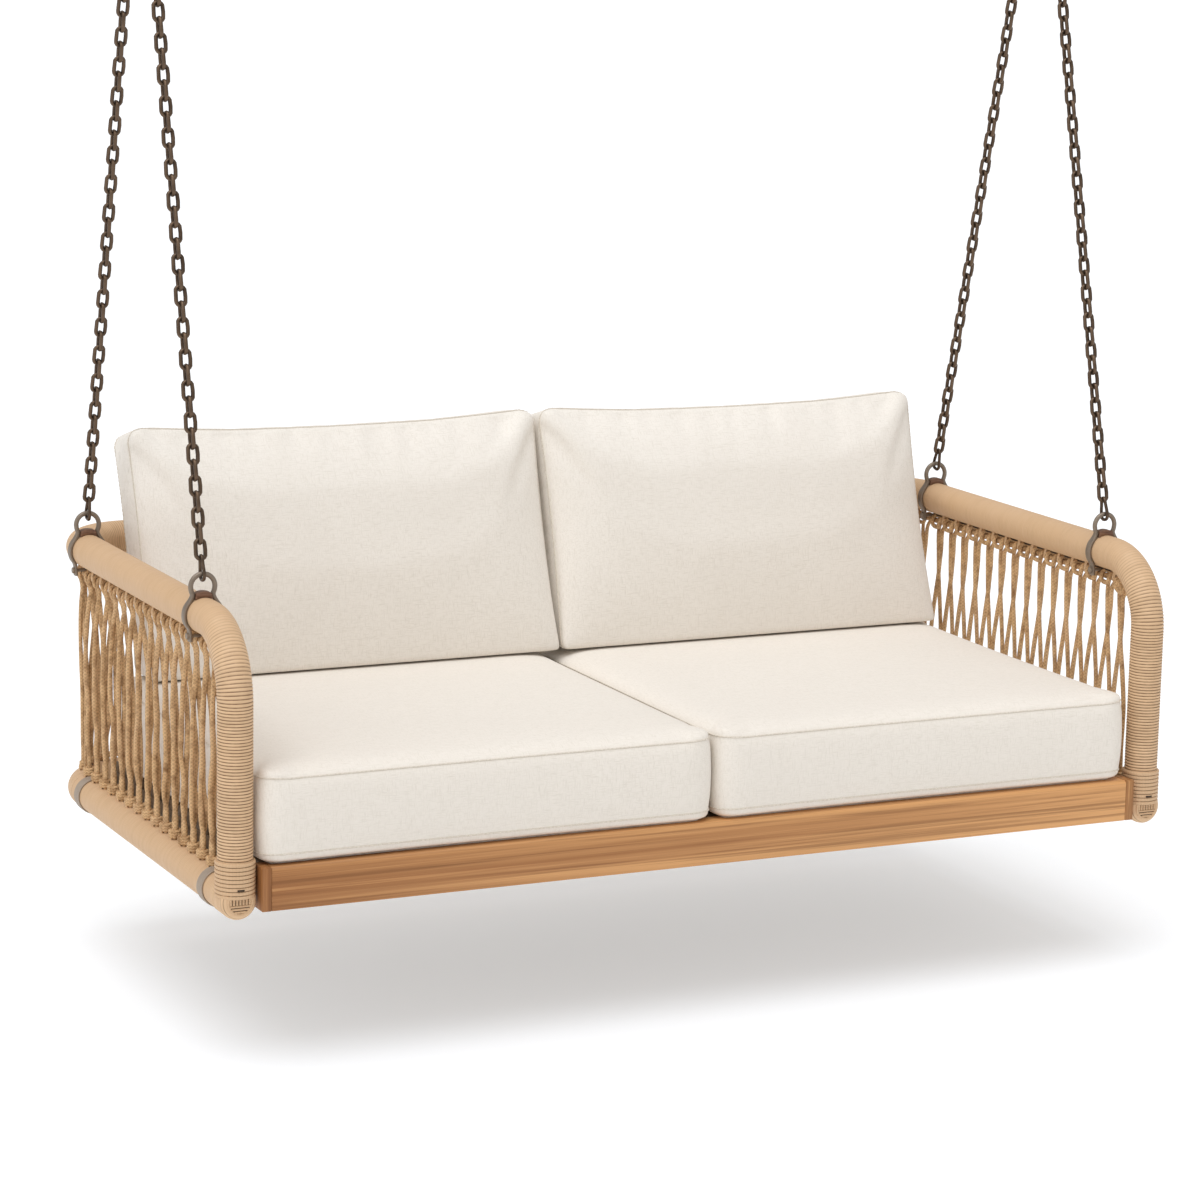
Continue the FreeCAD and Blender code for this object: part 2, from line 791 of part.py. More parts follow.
# Rope sides: a holding cord below the arms and rear rail, ropes doubled over it, knots below

rope_half = rope_r * math.sqrt(math.pi) / 2
rope_side = cord_r + size("rope_play") + rope_r + size("rope_play")
rope_over = cord_r + size("rope_play") + rope_r
knot_top = pole_r + size("knot_rise")
rope_low = knot_top + size("rope_play")
side_steps = max(3, round(2 * hang_half / size("side_rope_pitch")))
side_pitch = 2 * hang_half / side_steps
bend_run = size("rear_bend") * math.pi / 2
bend_pitch = bend_run / count("bend_ropes")
back_straight = size("post_spacing") - 2 * size("rear_bend")
back_pitch = back_straight / count("back_ropes")


def cord_point(station_y):
    """A point of the left holding cord by its distance behind the post, with its slope."""
    bend = size("front_bend")
    cord_bend = bend - cord_drop
    if station_y >= bend:
        return Vector(-half_spacing, station_y, cord_z), Y_AXIS, Z_AXIS
    away = bend - station_y
    angle = math.asin(away / cord_bend)
    centre_z = rise - bend
    point = Vector(-half_spacing, station_y, centre_z + cord_bend * math.cos(angle))
    along = Vector(0, math.cos(angle), math.sin(angle))
    up = Vector(0, -math.sin(angle), math.cos(angle))
    return point, along, up


def rope(point, along, up, out, pitch):
    """One rope doubled over the holding cord: an outer leg and an inner leg that cross below."""
    level = unit(Vector(along.x, along.y, 0))
    splay = size("rope_splay")
    reach = pitch / 2 - rope_r - size("rope_play") / 2
    layer = rope_r + size("rope_play") / 2
    meet_z = point.z - (point.z - rope_low) * size("rope_meet")
    ground = Vector(point.x, point.y, 0)
    legs = []
    for way in (1, -1):
        foot = ground + level * (way * reach) + out * (way * layer)
        legs.append(
            [
                foot + Z_AXIS * rope_low,
                foot + Z_AXIS * meet_z,
                point - along * (way * splay) + out * (way * rope_side) + up * rope_over,
            ]
        )
    points = legs[0] + list(reversed(legs[1]))
    section = section_of(4, points[0], (level, out), rope_half)
    return bar(points, section)


def rail_knot(point, along, out):
    """A knot that ties the legs of two ropes down to the lower rail."""
    seat_r = pole_r + size("knot_gap")
    half_angle = math.asin(size("knot_width") / 2 / seat_r)
    low = seat_r * math.cos(half_angle)
    half = size("knot_width") / 2
    top = half * 0.8
    outline = []
    for across, height in ((-half, low), (0, seat_r), (half, low), (top, knot_top), (-top, knot_top)):
        corner = point + out * across - along * (size("knot_length") / 2)
        outline.append(Vector(corner.x, corner.y, height))
    face = Part.Face(Part.makePolygon(outline + [outline[0]]))
    return face.extrude(along * size("knot_length"))


def bend_spot(run):
    """A spot on the left rear bend by its distance along the bend."""
    angle = run / size("rear_bend")
    centre = Vector(size("rear_bend") - half_spacing, joint_y, 0)
    out = Vector(-math.cos(angle), math.sin(angle), 0)
    along = Vector(math.sin(angle), math.cos(angle), 0)
    return centre + out * size("rear_bend"), along, out


def mirrored(shape):
    return shape.mirror(Vector(0, 0, 0), X_AXIS)


LEFT = Vector(-1, 0, 0)
side_ropes = []
knots = []
ahead = count("ropes_ahead")
steps = side_steps
for step in range(-ahead, steps):
    station = hanger_y["front"] + (step + 0.5) * side_pitch
    point, along, up = cord_point(station)
    side_ropes.append(rope(point, along, up, LEFT, side_pitch))
for step in range(-ahead, steps + 1):
    station = hanger_y["front"] + step * side_pitch
    knots.append(rail_knot(Vector(-half_spacing, station, 0), Y_AXIS, LEFT))

corner_ropes = []
for step in range(count("bend_ropes")):
    spot, along, out = bend_spot((step + 0.5) * bend_pitch)
    corner_ropes.append(rope(spot + Z_AXIS * cord_z, along, Z_AXIS, out, bend_pitch))
    spot, along, out = bend_spot((step + 1) * bend_pitch)
    knots.append(rail_knot(spot, along, out))

back_ropes = []
knots += [mirrored(shape) for shape in knots]
rear_y = size("seat_depth")
start_x = -back_straight / 2
clear = size("upright_dia") / 2 + rope_r
for step in range(count("back_ropes")):
    x = start_x + (step + 0.5) * back_pitch
    if abs(abs(x) - size("upright_offset")) < clear + back_pitch / 2:
        continue
    point = Vector(x, rear_y, cord_z)
    back_ropes.append(rope(point, X_AXIS, Z_AXIS, Y_AXIS, back_pitch))
for step in range(1, count("back_ropes")):
    x = start_x + step * back_pitch
    if abs(abs(x) - size("upright_offset")) < clear + size("knot_length") / 2:
        continue
    knots.append(rail_knot(Vector(x, rear_y, 0), X_AXIS, Y_AXIS))

feature("left_rope_side", Part.makeCompound(side_ropes))
feature("right_rope_side", Part.makeCompound([mirrored(shape) for shape in side_ropes]))
feature("left_corner_ropes", Part.makeCompound(corner_ropes))
feature("right_corner_ropes", Part.makeCompound([mirrored(shape) for shape in corner_ropes]))
feature("back_rope_panel", Part.makeCompound(back_ropes))
feature("rail_knots", Part.makeCompound(knots))


def cord_run(edges, up):
    """A holding cord along a run of tangent lines and arcs, six-sided."""
    path = Part.Wire(edges)
    start = path.Edges[0]
    point = start.valueAt(start.FirstParameter)
    heading = start.tangentAt(start.FirstParameter)
    corners = section_of(6, point, (up, heading.cross(up)), cord_r * math.cos(math.pi / 6))
    return path.makePipeShell([Part.makePolygon(corners + [corners[0]])], True, False)


def side_cord():
    """The cord under one arm: round the inside of the front bend, then straight back."""
    bend = size("front_bend")
    first_y = hanger_y["front"] - (ahead - 0.5) * side_pitch - size("rope_splay") - rope_r
    first, _, up = cord_point(first_y)
    middle, _, _ = cord_point((first_y + bend) / 2)
    last = Vector(-half_spacing, bend, cord_z)
    edges = [
        Part.Arc(first, middle, last).toShape(),
        Part.makeLine(last, Vector(-half_spacing, joint_y, cord_z)),
    ]
    return cord_run(edges, up)


def back_cord():
    """The cord under the rear rail, round both rear bends and through the uprights."""
    lift = Z_AXIS * cord_z
    start, _, _ = bend_spot(0)
    middle, _, _ = bend_spot(bend_run / 2)
    end, _, _ = bend_spot(bend_run)
    flip = [Vector(-spot.x, spot.y, spot.z) for spot in (end, middle, start)]
    edges = [
        Part.Arc(start + lift, middle + lift, end + lift).toShape(),
        Part.makeLine(end + lift, flip[0] + lift),
        Part.Arc(flip[0] + lift, flip[1] + lift, flip[2] + lift).toShape(),
    ]
    return cord_run(edges, Z_AXIS)


left_cord = side_cord()
feature("left_holding_cord", left_cord)
feature("right_holding_cord", mirrored(left_cord))
feature("back_holding_cord", back_cord())


# Timber deck

front_face = -size("front_rail_face")
front_back = front_face + size("front_rail_depth")
rail_low = size("deck_top") - size("front_rail_height")
bearer_top = size("deck_top") - size("slat_depth")
base_half = half_spacing - foot_r - size("end_block_gap")
rail_half = base_half - size("end_block_width")
side_out = half_spacing - size("side_rail_setback")
side_in = side_out - size("side_rail_width")
deck_rear = size("seat_depth") - pole_r - size("deck_rear_gap")
bearer_run = deck_rear - front_back
bearer_height = bearer_top - rail_low


def front_rail():
    """The show rail: a bevelled profile drawn on the body's Y-Z plane and padded along X."""
    body = doc.addObject("PartDesign::Body", "front_rail_body")
    sketch = body_sketch(body, "YZ_Plane", "front_rail_profile")
    deep = size("front_rail_depth")
    high = size("front_rail_height")
    bevel = size("rail_bevel")
    corners = [
        Vector(0, 0, 0),
        Vector(deep, 0, 0),
        Vector(deep, high, 0),
        Vector(bevel, high, 0),
        Vector(0, high - bevel, 0),
    ]
    total = len(corners)
    for n in range(total):
        sketch.addGeometry(Part.LineSegment(corners[n], corners[(n + 1) % total]), False)
    for n in range(total):
        sketch.addConstraint(Sketcher.Constraint("Coincident", n, 2, (n + 1) % total, 1))
    sketch.addConstraint(Sketcher.Constraint("Coincident", 0, 1, -1, 1))
    sketch.addConstraint(Sketcher.Constraint("Horizontal", 0))
    sketch.addConstraint(Sketcher.Constraint("Vertical", 1))
    sketch.addConstraint(Sketcher.Constraint("Horizontal", 2))
    sketch.addConstraint(Sketcher.Constraint("Vertical", 4))
    bind(sketch, Sketcher.Constraint("DistanceX", 0, 1, 0, 2, deep), "deep", "Sizes.front_rail_depth")
    bind(sketch, Sketcher.Constraint("DistanceY", 1, 1, 1, 2, high), "high", "Sizes.front_rail_height")
    bind(sketch, Sketcher.Constraint("DistanceX", 3, 2, 3, 1, bevel), "bevel_x", "Sizes.rail_bevel")
    bind(sketch, Sketcher.Constraint("DistanceY", 3, 2, 3, 1, bevel), "bevel_z", "Sizes.rail_bevel")
    pad = body.newObject("PartDesign::Pad", "front_rail_pad")
    pad.Profile = sketch
    pad.setExpression(
        "Length",
        "Sizes.post_spacing - Sizes.foot_dia - 2 * Sizes.end_block_gap - 2 * Sizes.end_block_width",
    )
    body.Tip = pad
    return body


keep("front_rail", front_rail(), Vector(-rail_half, front_face, rail_low))
for side, x in (("left", -base_half), ("right", rail_half)):
    block = helper(
        f"{side}_block",
        "Part::Box",
        Length="Sizes.end_block_width",
        Width="Sizes.front_rail_depth",
        Height="Sizes.front_rail_height",
    )
    keep(f"{side}_end_block", block, Vector(x, front_face, rail_low))

BEARER = {
    "Length": "Sizes.side_rail_width",
    "Width": (
        "Sizes.seat_depth - Sizes.pole_dia / 2 - Sizes.deck_rear_gap"
        " + Sizes.front_rail_face - Sizes.front_rail_depth"
    ),
    "Height": "Sizes.front_rail_height - Sizes.slat_depth",
}
band_spots = [
    hanger_y["front"] - (ahead - 0.5) * side_pitch,
    hanger_y["front"] + (steps - 0.5) * side_pitch,
]
flange_out = side_out + size("band_depth")
band_width = side_pitch - size("knot_length") - 2 * size("band_clear")
for side, x in (("left", -side_out), ("right", side_in)):
    rail = helper(f"{side}_bearer", "Part::Box", **BEARER)
    keep(f"{side}_side_rail", rail, Vector(x, front_back, rail_low))

centre = helper("centre_beam", "Part::Box", **BEARER)
centre.setExpression("Width", BEARER["Width"] + " - Sizes.side_rail_width")
keep("centre_bearer", centre, Vector(-size("side_rail_width") / 2, front_back, rail_low))
rear = helper(
    "rear_beam",
    "Part::Box",
    Length="Sizes.post_spacing - 2 * (Sizes.side_rail_setback + Sizes.side_rail_width)",
    Width="Sizes.side_rail_width",
    Height="Sizes.front_rail_height - Sizes.slat_depth",
)
keep("rear_rail", rear, Vector(-side_in, deck_rear - size("side_rail_width"), rail_low))

slats = []
slat_total = count("slat_count")
slat_step = (bearer_run - size("slat_width")) / (slat_total - 1)
for number in range(slat_total):
    slat = helper(
        f"slat{number}",
        "Part::Box",
        Length="Sizes.post_spacing - 2 * Sizes.side_rail_setback",
        Width="Sizes.slat_width",
        Height="Sizes.slat_depth",
    )
    place = Vector(-side_out, front_back + number * slat_step, bearer_top)
    slat.Placement = FreeCAD.Placement(place, FreeCAD.Rotation())
    slats.append(slat)
slat_group = doc.addObject("Part::Compound", "slat_group")
slat_group.Links = slats
keep("seat_slats", slat_group)


def rail_band(y):
    """A flat band round the left lower rail, with a web and a flange fixed to the side rail."""
    inner = pole_r + size("strap_gap")
    outer = inner + size("band_depth")
    wide = band_width
    start = Vector(-half_spacing, y - wide / 2, 0)
    band = Part.makeCylinder(outer, wide, start, Y_AXIS)
    web_rise = size("band_depth") * 3
    web = Part.makeBox(
        half_spacing - side_out,
        wide,
        web_rise,
        Vector(-half_spacing, y - wide / 2, -web_rise / 2),
    )
    flange = Part.makeBox(
        size("band_depth"),
        wide,
        size("band_flange_rise"),
        Vector(-flange_out, y - wide / 2, -size("band_flange_rise") / 2),
    )
    return band.fuse([web, flange]).cut(Part.makeCylinder(inner, wide, start, Y_AXIS))


bands = [rail_band(y) for y in band_spots]
feature("rail_bands", Part.makeCompound(bands + [mirrored(shape) for shape in bands]))


# Cushions: rounded outlines, drawn in between their corners, lofted through their height

inside_half = half_spacing - pole_r
seat_width = (
    2 * inside_half
    - size("seat_left_clear")
    - size("seat_right_clear")
    - size("seat_cushion_gap")
) / 2
back_width = inside_half - size("back_side_clear") - size("back_cushion_gap") / 2
back_front = size("seat_depth") - size("back_cushion_setback")


def cushion_outline(x0, x1, y0, y1, z, front_corner, rear_corner, draw):
    """A level outline with round corners whose four sides bow inwards by the draw."""
    radii = [front_corner, front_corner, rear_corner, rear_corner]
    corners = [Vector(x0, y0, z), Vector(x1, y0, z), Vector(x1, y1, z), Vector(x0, y1, z)]
    inward = [Y_AXIS, LEFT, Vector(0, -1, 0), X_AXIS]
    edges = []
    spots = []
    for n in range(4):
        before = unit(corners[n - 1] - corners[n])
        after = unit(corners[(n + 1) % 4] - corners[n])
        start = corners[n] + before * radii[n]
        end = corners[n] + after * radii[n]
        middle = corners[n] + (before + after) * (radii[n] * (1 - math.sqrt(0.5)))
        spots.append((start, middle, end))
    for n in range(4):
        start, middle, end = spots[n]
        edges.append(Part.Arc(start, middle, end).toShape())
        following = spots[(n + 1) % 4][0]
        bowed = (end + following) * 0.5 + inward[n] * draw
        edges.append(Part.Arc(end, bowed, following).toShape())
    return Part.Wire(edges)


def seat_cushion(x0):
    """A boxed seat cushion: flat below, drawn-in sides, a crowned top."""
    x1 = x0 + seat_width
    y0 = -size("seat_cushion_front")
    y1 = deck_rear - size("seat_cushion_setback")
    low = size("deck_top") + size("cushion_play")
    high = low + size("seat_cushion_height")
    drop = size("seat_edge_drop")
    draw = size("draw_in")
    front = size("seat_front_corner")
    rear_corner = size("seat_rear_corner")
    levels = [
        (low, drop * 0.5, 1.0),
        (low + drop, 0, 1.0),
        (high - drop, 0, 1.0),
        (high - drop * 0.35, drop * 1.2, 0.7),
        (high, drop * 6.0, 0.2),
    ]
    wires = []
    for z, inset, share in levels:
        wires.append(
            cushion_outline(
                x0 + inset,
                x1 - inset,
                y0 + inset,
                y1 - inset,
                z,
                front,
                rear_corner,
                draw * share,
            )
        )
    return Part.makeLoft(wires, True, True)


def back_cushion(x0):
    """A leaning back cushion: level foot on the seat, crowned front and back, rounded top."""
    slope = math.tan(math.radians(size("back_cushion_lean_angle")))
    low = size("deck_top") + 2 * size("cushion_play") + size("seat_cushion_height")
    high = size("back_cushion_height")
    deep = size("back_cushion_depth") / math.cos(math.radians(size("back_cushion_lean_angle")))
    edge = size("back_edge_round")
    crown = size("back_cushion_crown")
    levels = [
        (0.0, edge * 0.6, 0.0),
        (edge, 0.0, 0.35),
        (high * 0.33, 0.0, 0.95),
        (high * 0.62, 0.0, 0.95),
        (high - edge, 0.0, 0.3),
        (high, edge, 0.0),
    ]
    corner = size("back_cushion_corner")
    draw = size("draw_in")
    wires = []
    for rise_here, inset, swell in levels:
        y0 = back_front + slope * rise_here + inset
        y1 = y0 - 2 * inset + deep
        wires.append(
            back_outline(
                x0 + inset + draw * swell,
                x0 + back_width - inset - draw * swell,
                y0,
                y1,
                low + rise_here,
                corner,
                crown * swell,
            )
        )
    return Part.makeLoft(wires, True, True)


def back_outline(x0, x1, y0, y1, z, corner, swell):
    """A level cut through a back cushion: round corners, front and back swelling outwards."""
    radius = min(corner, (y1 - y0) * 0.4)
    share = 1 - math.sqrt(0.5)
    front_out = swell * 0.6
    points = {
        "front_left": Vector(x0 + radius, y0, z),
        "front_right": Vector(x1 - radius, y0, z),
        "right_front": Vector(x1, y0 + radius, z),
        "right_back": Vector(x1, y1 - radius, z),
        "back_right": Vector(x1 - radius, y1, z),
        "back_left": Vector(x0 + radius, y1, z),
        "left_back": Vector(x0, y1 - radius, z),
        "left_front": Vector(x0, y0 + radius, z),
    }
    bow = radius * share
    middle_x = (x0 + x1) / 2
    least = size("cushion_play")
    front_mid = Vector(middle_x, y0 - front_out - least, z)
    back_mid = Vector(middle_x, y1 + swell + least, z)
    runs = [
        ("front_left", front_mid, "front_right"),
        ("front_right", Vector(x1 - bow, y0 + bow, z), "right_front"),
        ("right_front", None, "right_back"),
        ("right_back", Vector(x1 - bow, y1 - bow, z), "back_right"),
        ("back_right", back_mid, "back_left"),
        ("back_left", Vector(x0 + bow, y1 - bow, z), "left_back"),
        ("left_back", None, "left_front"),
        ("left_front", Vector(x0 + bow, y0 + bow, z), "front_left"),
    ]
    edges = []
    for start, middle, end in runs:
        if middle is None:
            edges.append(Part.makeLine(points[start], points[end]))
        else:
            edges.append(Part.Arc(points[start], middle, points[end]).toShape())
    return Part.Wire(edges)


feature("left_seat_cushion", seat_cushion(-inside_half + size("seat_left_clear")))
feature("right_seat_cushion", seat_cushion(inside_half - size("seat_right_clear") - seat_width))
back_middle = size("back_cushion_gap") / 2
feature("left_back_cushion", back_cushion(-back_middle - back_width))
feature("right_back_cushion", back_cushion(back_middle))


# Check every object, then write one file for each node

doc.recompute()
for obj in doc.Objects:
    bad = [state for state in obj.State if state in ("Invalid", "Error")]
    if bad:
        raise RuntimeError(f"{obj.Label} failed: {bad}")
for label, obj in nodes.items():
    shape = obj.Shape
    if shape.isNull() or not shape.isValid() or not shape.Solids:
        raise RuntimeError(f"{label} has no valid solid")
    shape.exportStep(f"parts/{label}.step")
print(len(nodes), "nodes; chain lean", round(chain_lean, 2), "degrees; ceiling", round(ceiling_z, 1))
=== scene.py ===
"""A hanging porch swing: cord-bound pole frame, knotted rope sides, timber deck, cushions and chains.

Run as a script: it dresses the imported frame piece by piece, then sets the stage.
"""

import json
import math
from types import SimpleNamespace

import bmesh
import bpy
import numpy as np
from mathutils import Matrix, Vector

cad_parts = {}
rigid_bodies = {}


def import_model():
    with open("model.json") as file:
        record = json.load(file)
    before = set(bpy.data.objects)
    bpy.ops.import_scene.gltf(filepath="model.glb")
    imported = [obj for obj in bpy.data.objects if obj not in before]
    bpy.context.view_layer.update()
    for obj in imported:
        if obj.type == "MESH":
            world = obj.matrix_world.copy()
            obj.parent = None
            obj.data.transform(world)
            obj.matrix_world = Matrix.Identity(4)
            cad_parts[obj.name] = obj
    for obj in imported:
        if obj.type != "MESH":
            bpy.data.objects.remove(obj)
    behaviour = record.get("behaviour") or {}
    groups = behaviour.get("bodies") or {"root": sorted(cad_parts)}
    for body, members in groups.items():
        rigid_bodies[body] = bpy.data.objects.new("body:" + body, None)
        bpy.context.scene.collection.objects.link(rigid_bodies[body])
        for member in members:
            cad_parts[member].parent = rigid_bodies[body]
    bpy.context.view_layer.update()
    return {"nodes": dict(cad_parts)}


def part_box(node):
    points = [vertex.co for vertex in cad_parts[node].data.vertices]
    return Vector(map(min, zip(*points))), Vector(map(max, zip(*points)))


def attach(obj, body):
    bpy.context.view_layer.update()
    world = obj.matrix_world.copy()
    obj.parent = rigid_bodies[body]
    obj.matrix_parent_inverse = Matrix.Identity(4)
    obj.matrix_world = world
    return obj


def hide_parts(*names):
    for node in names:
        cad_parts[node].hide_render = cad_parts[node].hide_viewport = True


bl_info = {
    "name": "Hanging swing seat",
    "version": (1, 0, 0),
    "blender": (4, 5, 0),
    "location": "3D View > Sidebar > Swing seat",
    "description": "Dresses a hanging porch swing: bound poles, rope sides, chains, deck and cushions",
    "category": "Object",
}

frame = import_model()
MM = 0.001
SIDES = ((-1, "left"), (1, "right"))
BACK_LEAN = math.radians(16.5)
BACK_DEEP = 0.099
SEAM_DEPTH = 0.0022
SEAM_CORD = 0.0013
SEAM_THREAD = 0.0007
FILL_FRAMES = 20
FILL_PRESSURE = 4.0
COLLAR_TURNS = 9
COLLAR_PITCH = 0.0066
COLLAR_FOOT = 0.0095
FOOT_PITCH = 0.0052
FOOT_NOSE_TURN = 0.012
PEAR_WIRE = 0.0029
BAND_WIDTH = 0.0249


def measure():
    """The frame's leading sizes, read from its nodes, in metres."""
    low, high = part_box("left_lower_pole")
    radius = (high.z - low.z) / 2
    arm_low, arm_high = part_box("left_arm_pole")
    back_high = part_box("back_pole")[1]
    front = sum(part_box("left_front_hanger"), Vector()) / 2
    rear = sum(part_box("left_rear_hanger"), Vector()) / 2
    post_y = arm_low.y + radius
    rail_z = (low.z + high.z) / 2
    rear_y = back_high.y - radius
    foot_low, foot_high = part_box("left_post_foot")
    return SimpleNamespace(
        half=-(low.x + high.x) / 2,
        pole=radius,
        post_y=post_y,
        rail_z=rail_z,
        rise=arm_high.z - radius - rail_z,
        joint=arm_high.y - post_y,
        depth=rear_y - post_y,
        bend=rear_y - arm_high.y,
        front_hang=front.y - post_y,
        rear_hang=rear.y - post_y,
        foot=(foot_high.z - foot_low.z) / 2,
        foot_nose=foot_low.y - post_y,
        foot_tail=foot_high.y - post_y,
    )


SWING = measure()
SEAT_ORIGIN = np.array((0.0, SWING.post_y, SWING.rail_z))


def linear(red, green, blue):
    """A linear colour from a paint chart's 0 to 255 values."""
    shades = []
    for part in (red, green, blue):
        part /= 255
        shades.append(part / 12.92 if part <= 0.04045 else ((part + 0.055) / 1.055) ** 2.4)
    return tuple(shades)


def length(name, description, default):
    return bpy.props.FloatProperty(
        name=name, description=description, default=default, unit="LENGTH", precision=4
    )


def paint(name, description, default):
    return bpy.props.FloatVectorProperty(
        name=name, description=description, default=linear(*default), subtype="COLOR", min=0, max=1
    )


class SwingSizes(bpy.types.PropertyGroup):
    """Sizes of the details that the frame's solids leave out."""

    front_bend: length("Front bend", "Radius of the arm's bend above the post", 0.115)
    cord_pitch: length("Binding pitch", "Width of one turn of the cord round a post", 0.0052)
    cord_depth: length("Binding depth", "Depth of the groove between two turns", 0.0015)
    rope_dia: length("Rope", "Diameter of a side rope", 0.0086)
    holding_dia: length("Holding cord", "Diameter of the cord below the arms", 0.010)
    holding_drop: length("Holding drop", "Holding cord below the arm's centre", 0.0428)
    lashing_dia: length("Lashing", "Diameter of the cord that sews the ropes to the poles", 0.0034)
    link_wire: length("Link wire", "Diameter of the chain's wire", 0.0071)
    link_width: length("Link width", "Outside width of a link", 0.0235)
    link_reach: length("Link reach", "Length of a link along its wire's centre", 0.0309)
    link_pitch: length("Link pitch", "Distance from one link to the next", 0.0254)
    stitch_spacing: length("Stitch spacing", "Distance between two stitches", 0.0075)
    stitch_length: length("Stitch length", "Length of one stitch", 0.0048)
    cloth_cell: length("Cloth cell", "Grid of the cushion covers before they are filled", 0.013)
    floor_drop: length("Floor", "Floor below the lower rails' centre", 0.28)
    links: bpy.props.IntProperty(name="Links", description="Links in one chain", default=49)
    side_steps: bpy.props.IntProperty(
        name="Side ropes", description="Rope spaces between the hangers", default=13
    )
    bend_steps: bpy.props.IntProperty(
        name="Corner ropes", description="Ropes round a rear corner", default=4
    )
    back_steps: bpy.props.IntProperty(
        name="Back ropes", description="Rope spaces along the back", default=32
    )


class SwingColours(bpy.types.PropertyGroup):
    """Colours of the finishes."""

    pole: paint("Bound pole", "Cord on the poles", (218, 183, 145))
    # painted shade in the grooves of cords, plaits and strands; the same colour also darkens the wear
    # streaks on the posts
    groove_shade_and_wear: paint("Binding line", "Shade between two turns of the cord", (102, 68, 39))
    rope: paint("Rope", "Lit side of a rope", (214, 175, 128))
    rope_shade: paint("Rope shade", "Worn and soiled rope", (140, 100, 62))
    timber: paint("Timber", "Light bands of the oiled timber", (222, 166, 108))
    timber_dark: paint("Timber grain", "Dark bands of the oiled timber", (148, 94, 50))
    cloth: paint("Cushion cloth", "Undyed woven cloth", (238, 230, 219))
    cloth_thread: paint("Slub", "Thicker threads of the cloth", (212, 203, 188))
    strap: paint("Hanger", "Brushed and lacquered hangers", (128, 114, 100))
    chain: paint("Chain", "Dark bronze of the chains", (52, 41, 34))
    saddle: paint("Saddle", "Stained blocks under the rings", (126, 90, 66))
    band: paint("Band", "Flat bands round the lower rails", (158, 142, 126))


def sizes():
    return bpy.context.scene.swing_sizes


def colours():
    return bpy.context.scene.swing_colours


# Places and paths, in the seat's own frame: y = 0 at the posts, z = 0 at the lower rails


def seat(points):
    """Move points from the seat's own frame to the row frame."""
    return np.asarray(points, float) + SEAT_ORIGIN


def unit(vector):
    vector = np.asarray(vector, float)
    return vector / np.linalg.norm(vector)


def line(start, end, step):
    start, end = np.asarray(start, float), np.asarray(end, float)
    count = max(2, int(round(np.linalg.norm(end - start) / step)) + 1)
    return start + (end - start) * np.linspace(0, 1, count)[:, None]


def arc(centre, first, second, radius, start, end, step):
    """Points round a centre from the first direction towards the second, angles in degrees."""
    count = max(4, int(round(math.radians(abs(end - start)) * radius / step)) + 1)
    angles = np.radians(np.linspace(start, end, count))[:, None]
    return np.asarray(centre, float) + radius * (
        np.cos(angles) * np.asarray(first, float) + np.sin(angles) * np.asarray(second, float)
    )


def joined(*runs):
    """One path from runs that meet end to end."""
    points = [runs[0]]
    for run in runs[1:]:
        points.append(run[1:])
    return np.concatenate(points)


def eased(points, step, closed=False):
    """A smooth curve through the points, sampled evenly."""
    points = np.asarray(points, float)
    if closed:
        padded = np.concatenate([points[-1:], points, points[:2]])
    else:
        padded = np.concatenate([[2 * points[0] - points[1]], points, [2 * points[-1] - points[-2]]])
    share = np.linspace(0, 1, 12, endpoint=False)[:, None]
    runs = []
    for n in range(len(padded) - 3):
        a, b, c, d = padded[n : n + 4]
        ab, bc, cd = (max(np.linalg.norm(q - p), 1e-9) ** 0.5 for p, q in ((a, b), (b, c), (c, d)))
        leave = bc * ((b - a) / ab - (c - a) / (ab + bc) + (c - b) / bc)
        reach = bc * ((c - b) / bc - (d - b) / (bc + cd) + (d - c) / cd)
        cube = 2 * (b - c) + leave + reach
        square = -3 * (b - c) - 2 * leave - reach
        runs.append(((cube * share + square) * share + leave) * share + b)
    runs.append(points[:1] if closed else points[-1:])
    fine = np.concatenate(runs)
    run = np.concatenate([[0], np.cumsum(np.linalg.norm(np.diff(fine, axis=0), axis=1))])
    count = max(3, int(round(run[-1] / step)) + 1)
    spots = np.linspace(0, run[-1], count)
    path = np.stack([np.interp(spots, run, fine[:, axis]) for axis in range(3)], axis=1)
    return path[:-1] if closed else path


# Meshes


def round_off(made, edges, width, segments=2):
    """Round the chosen edges of a mesh that is being made."""
    bmesh.ops.bevel(made, geom=edges, offset=width, segments=segments, profile=0.5, affect="EDGES")


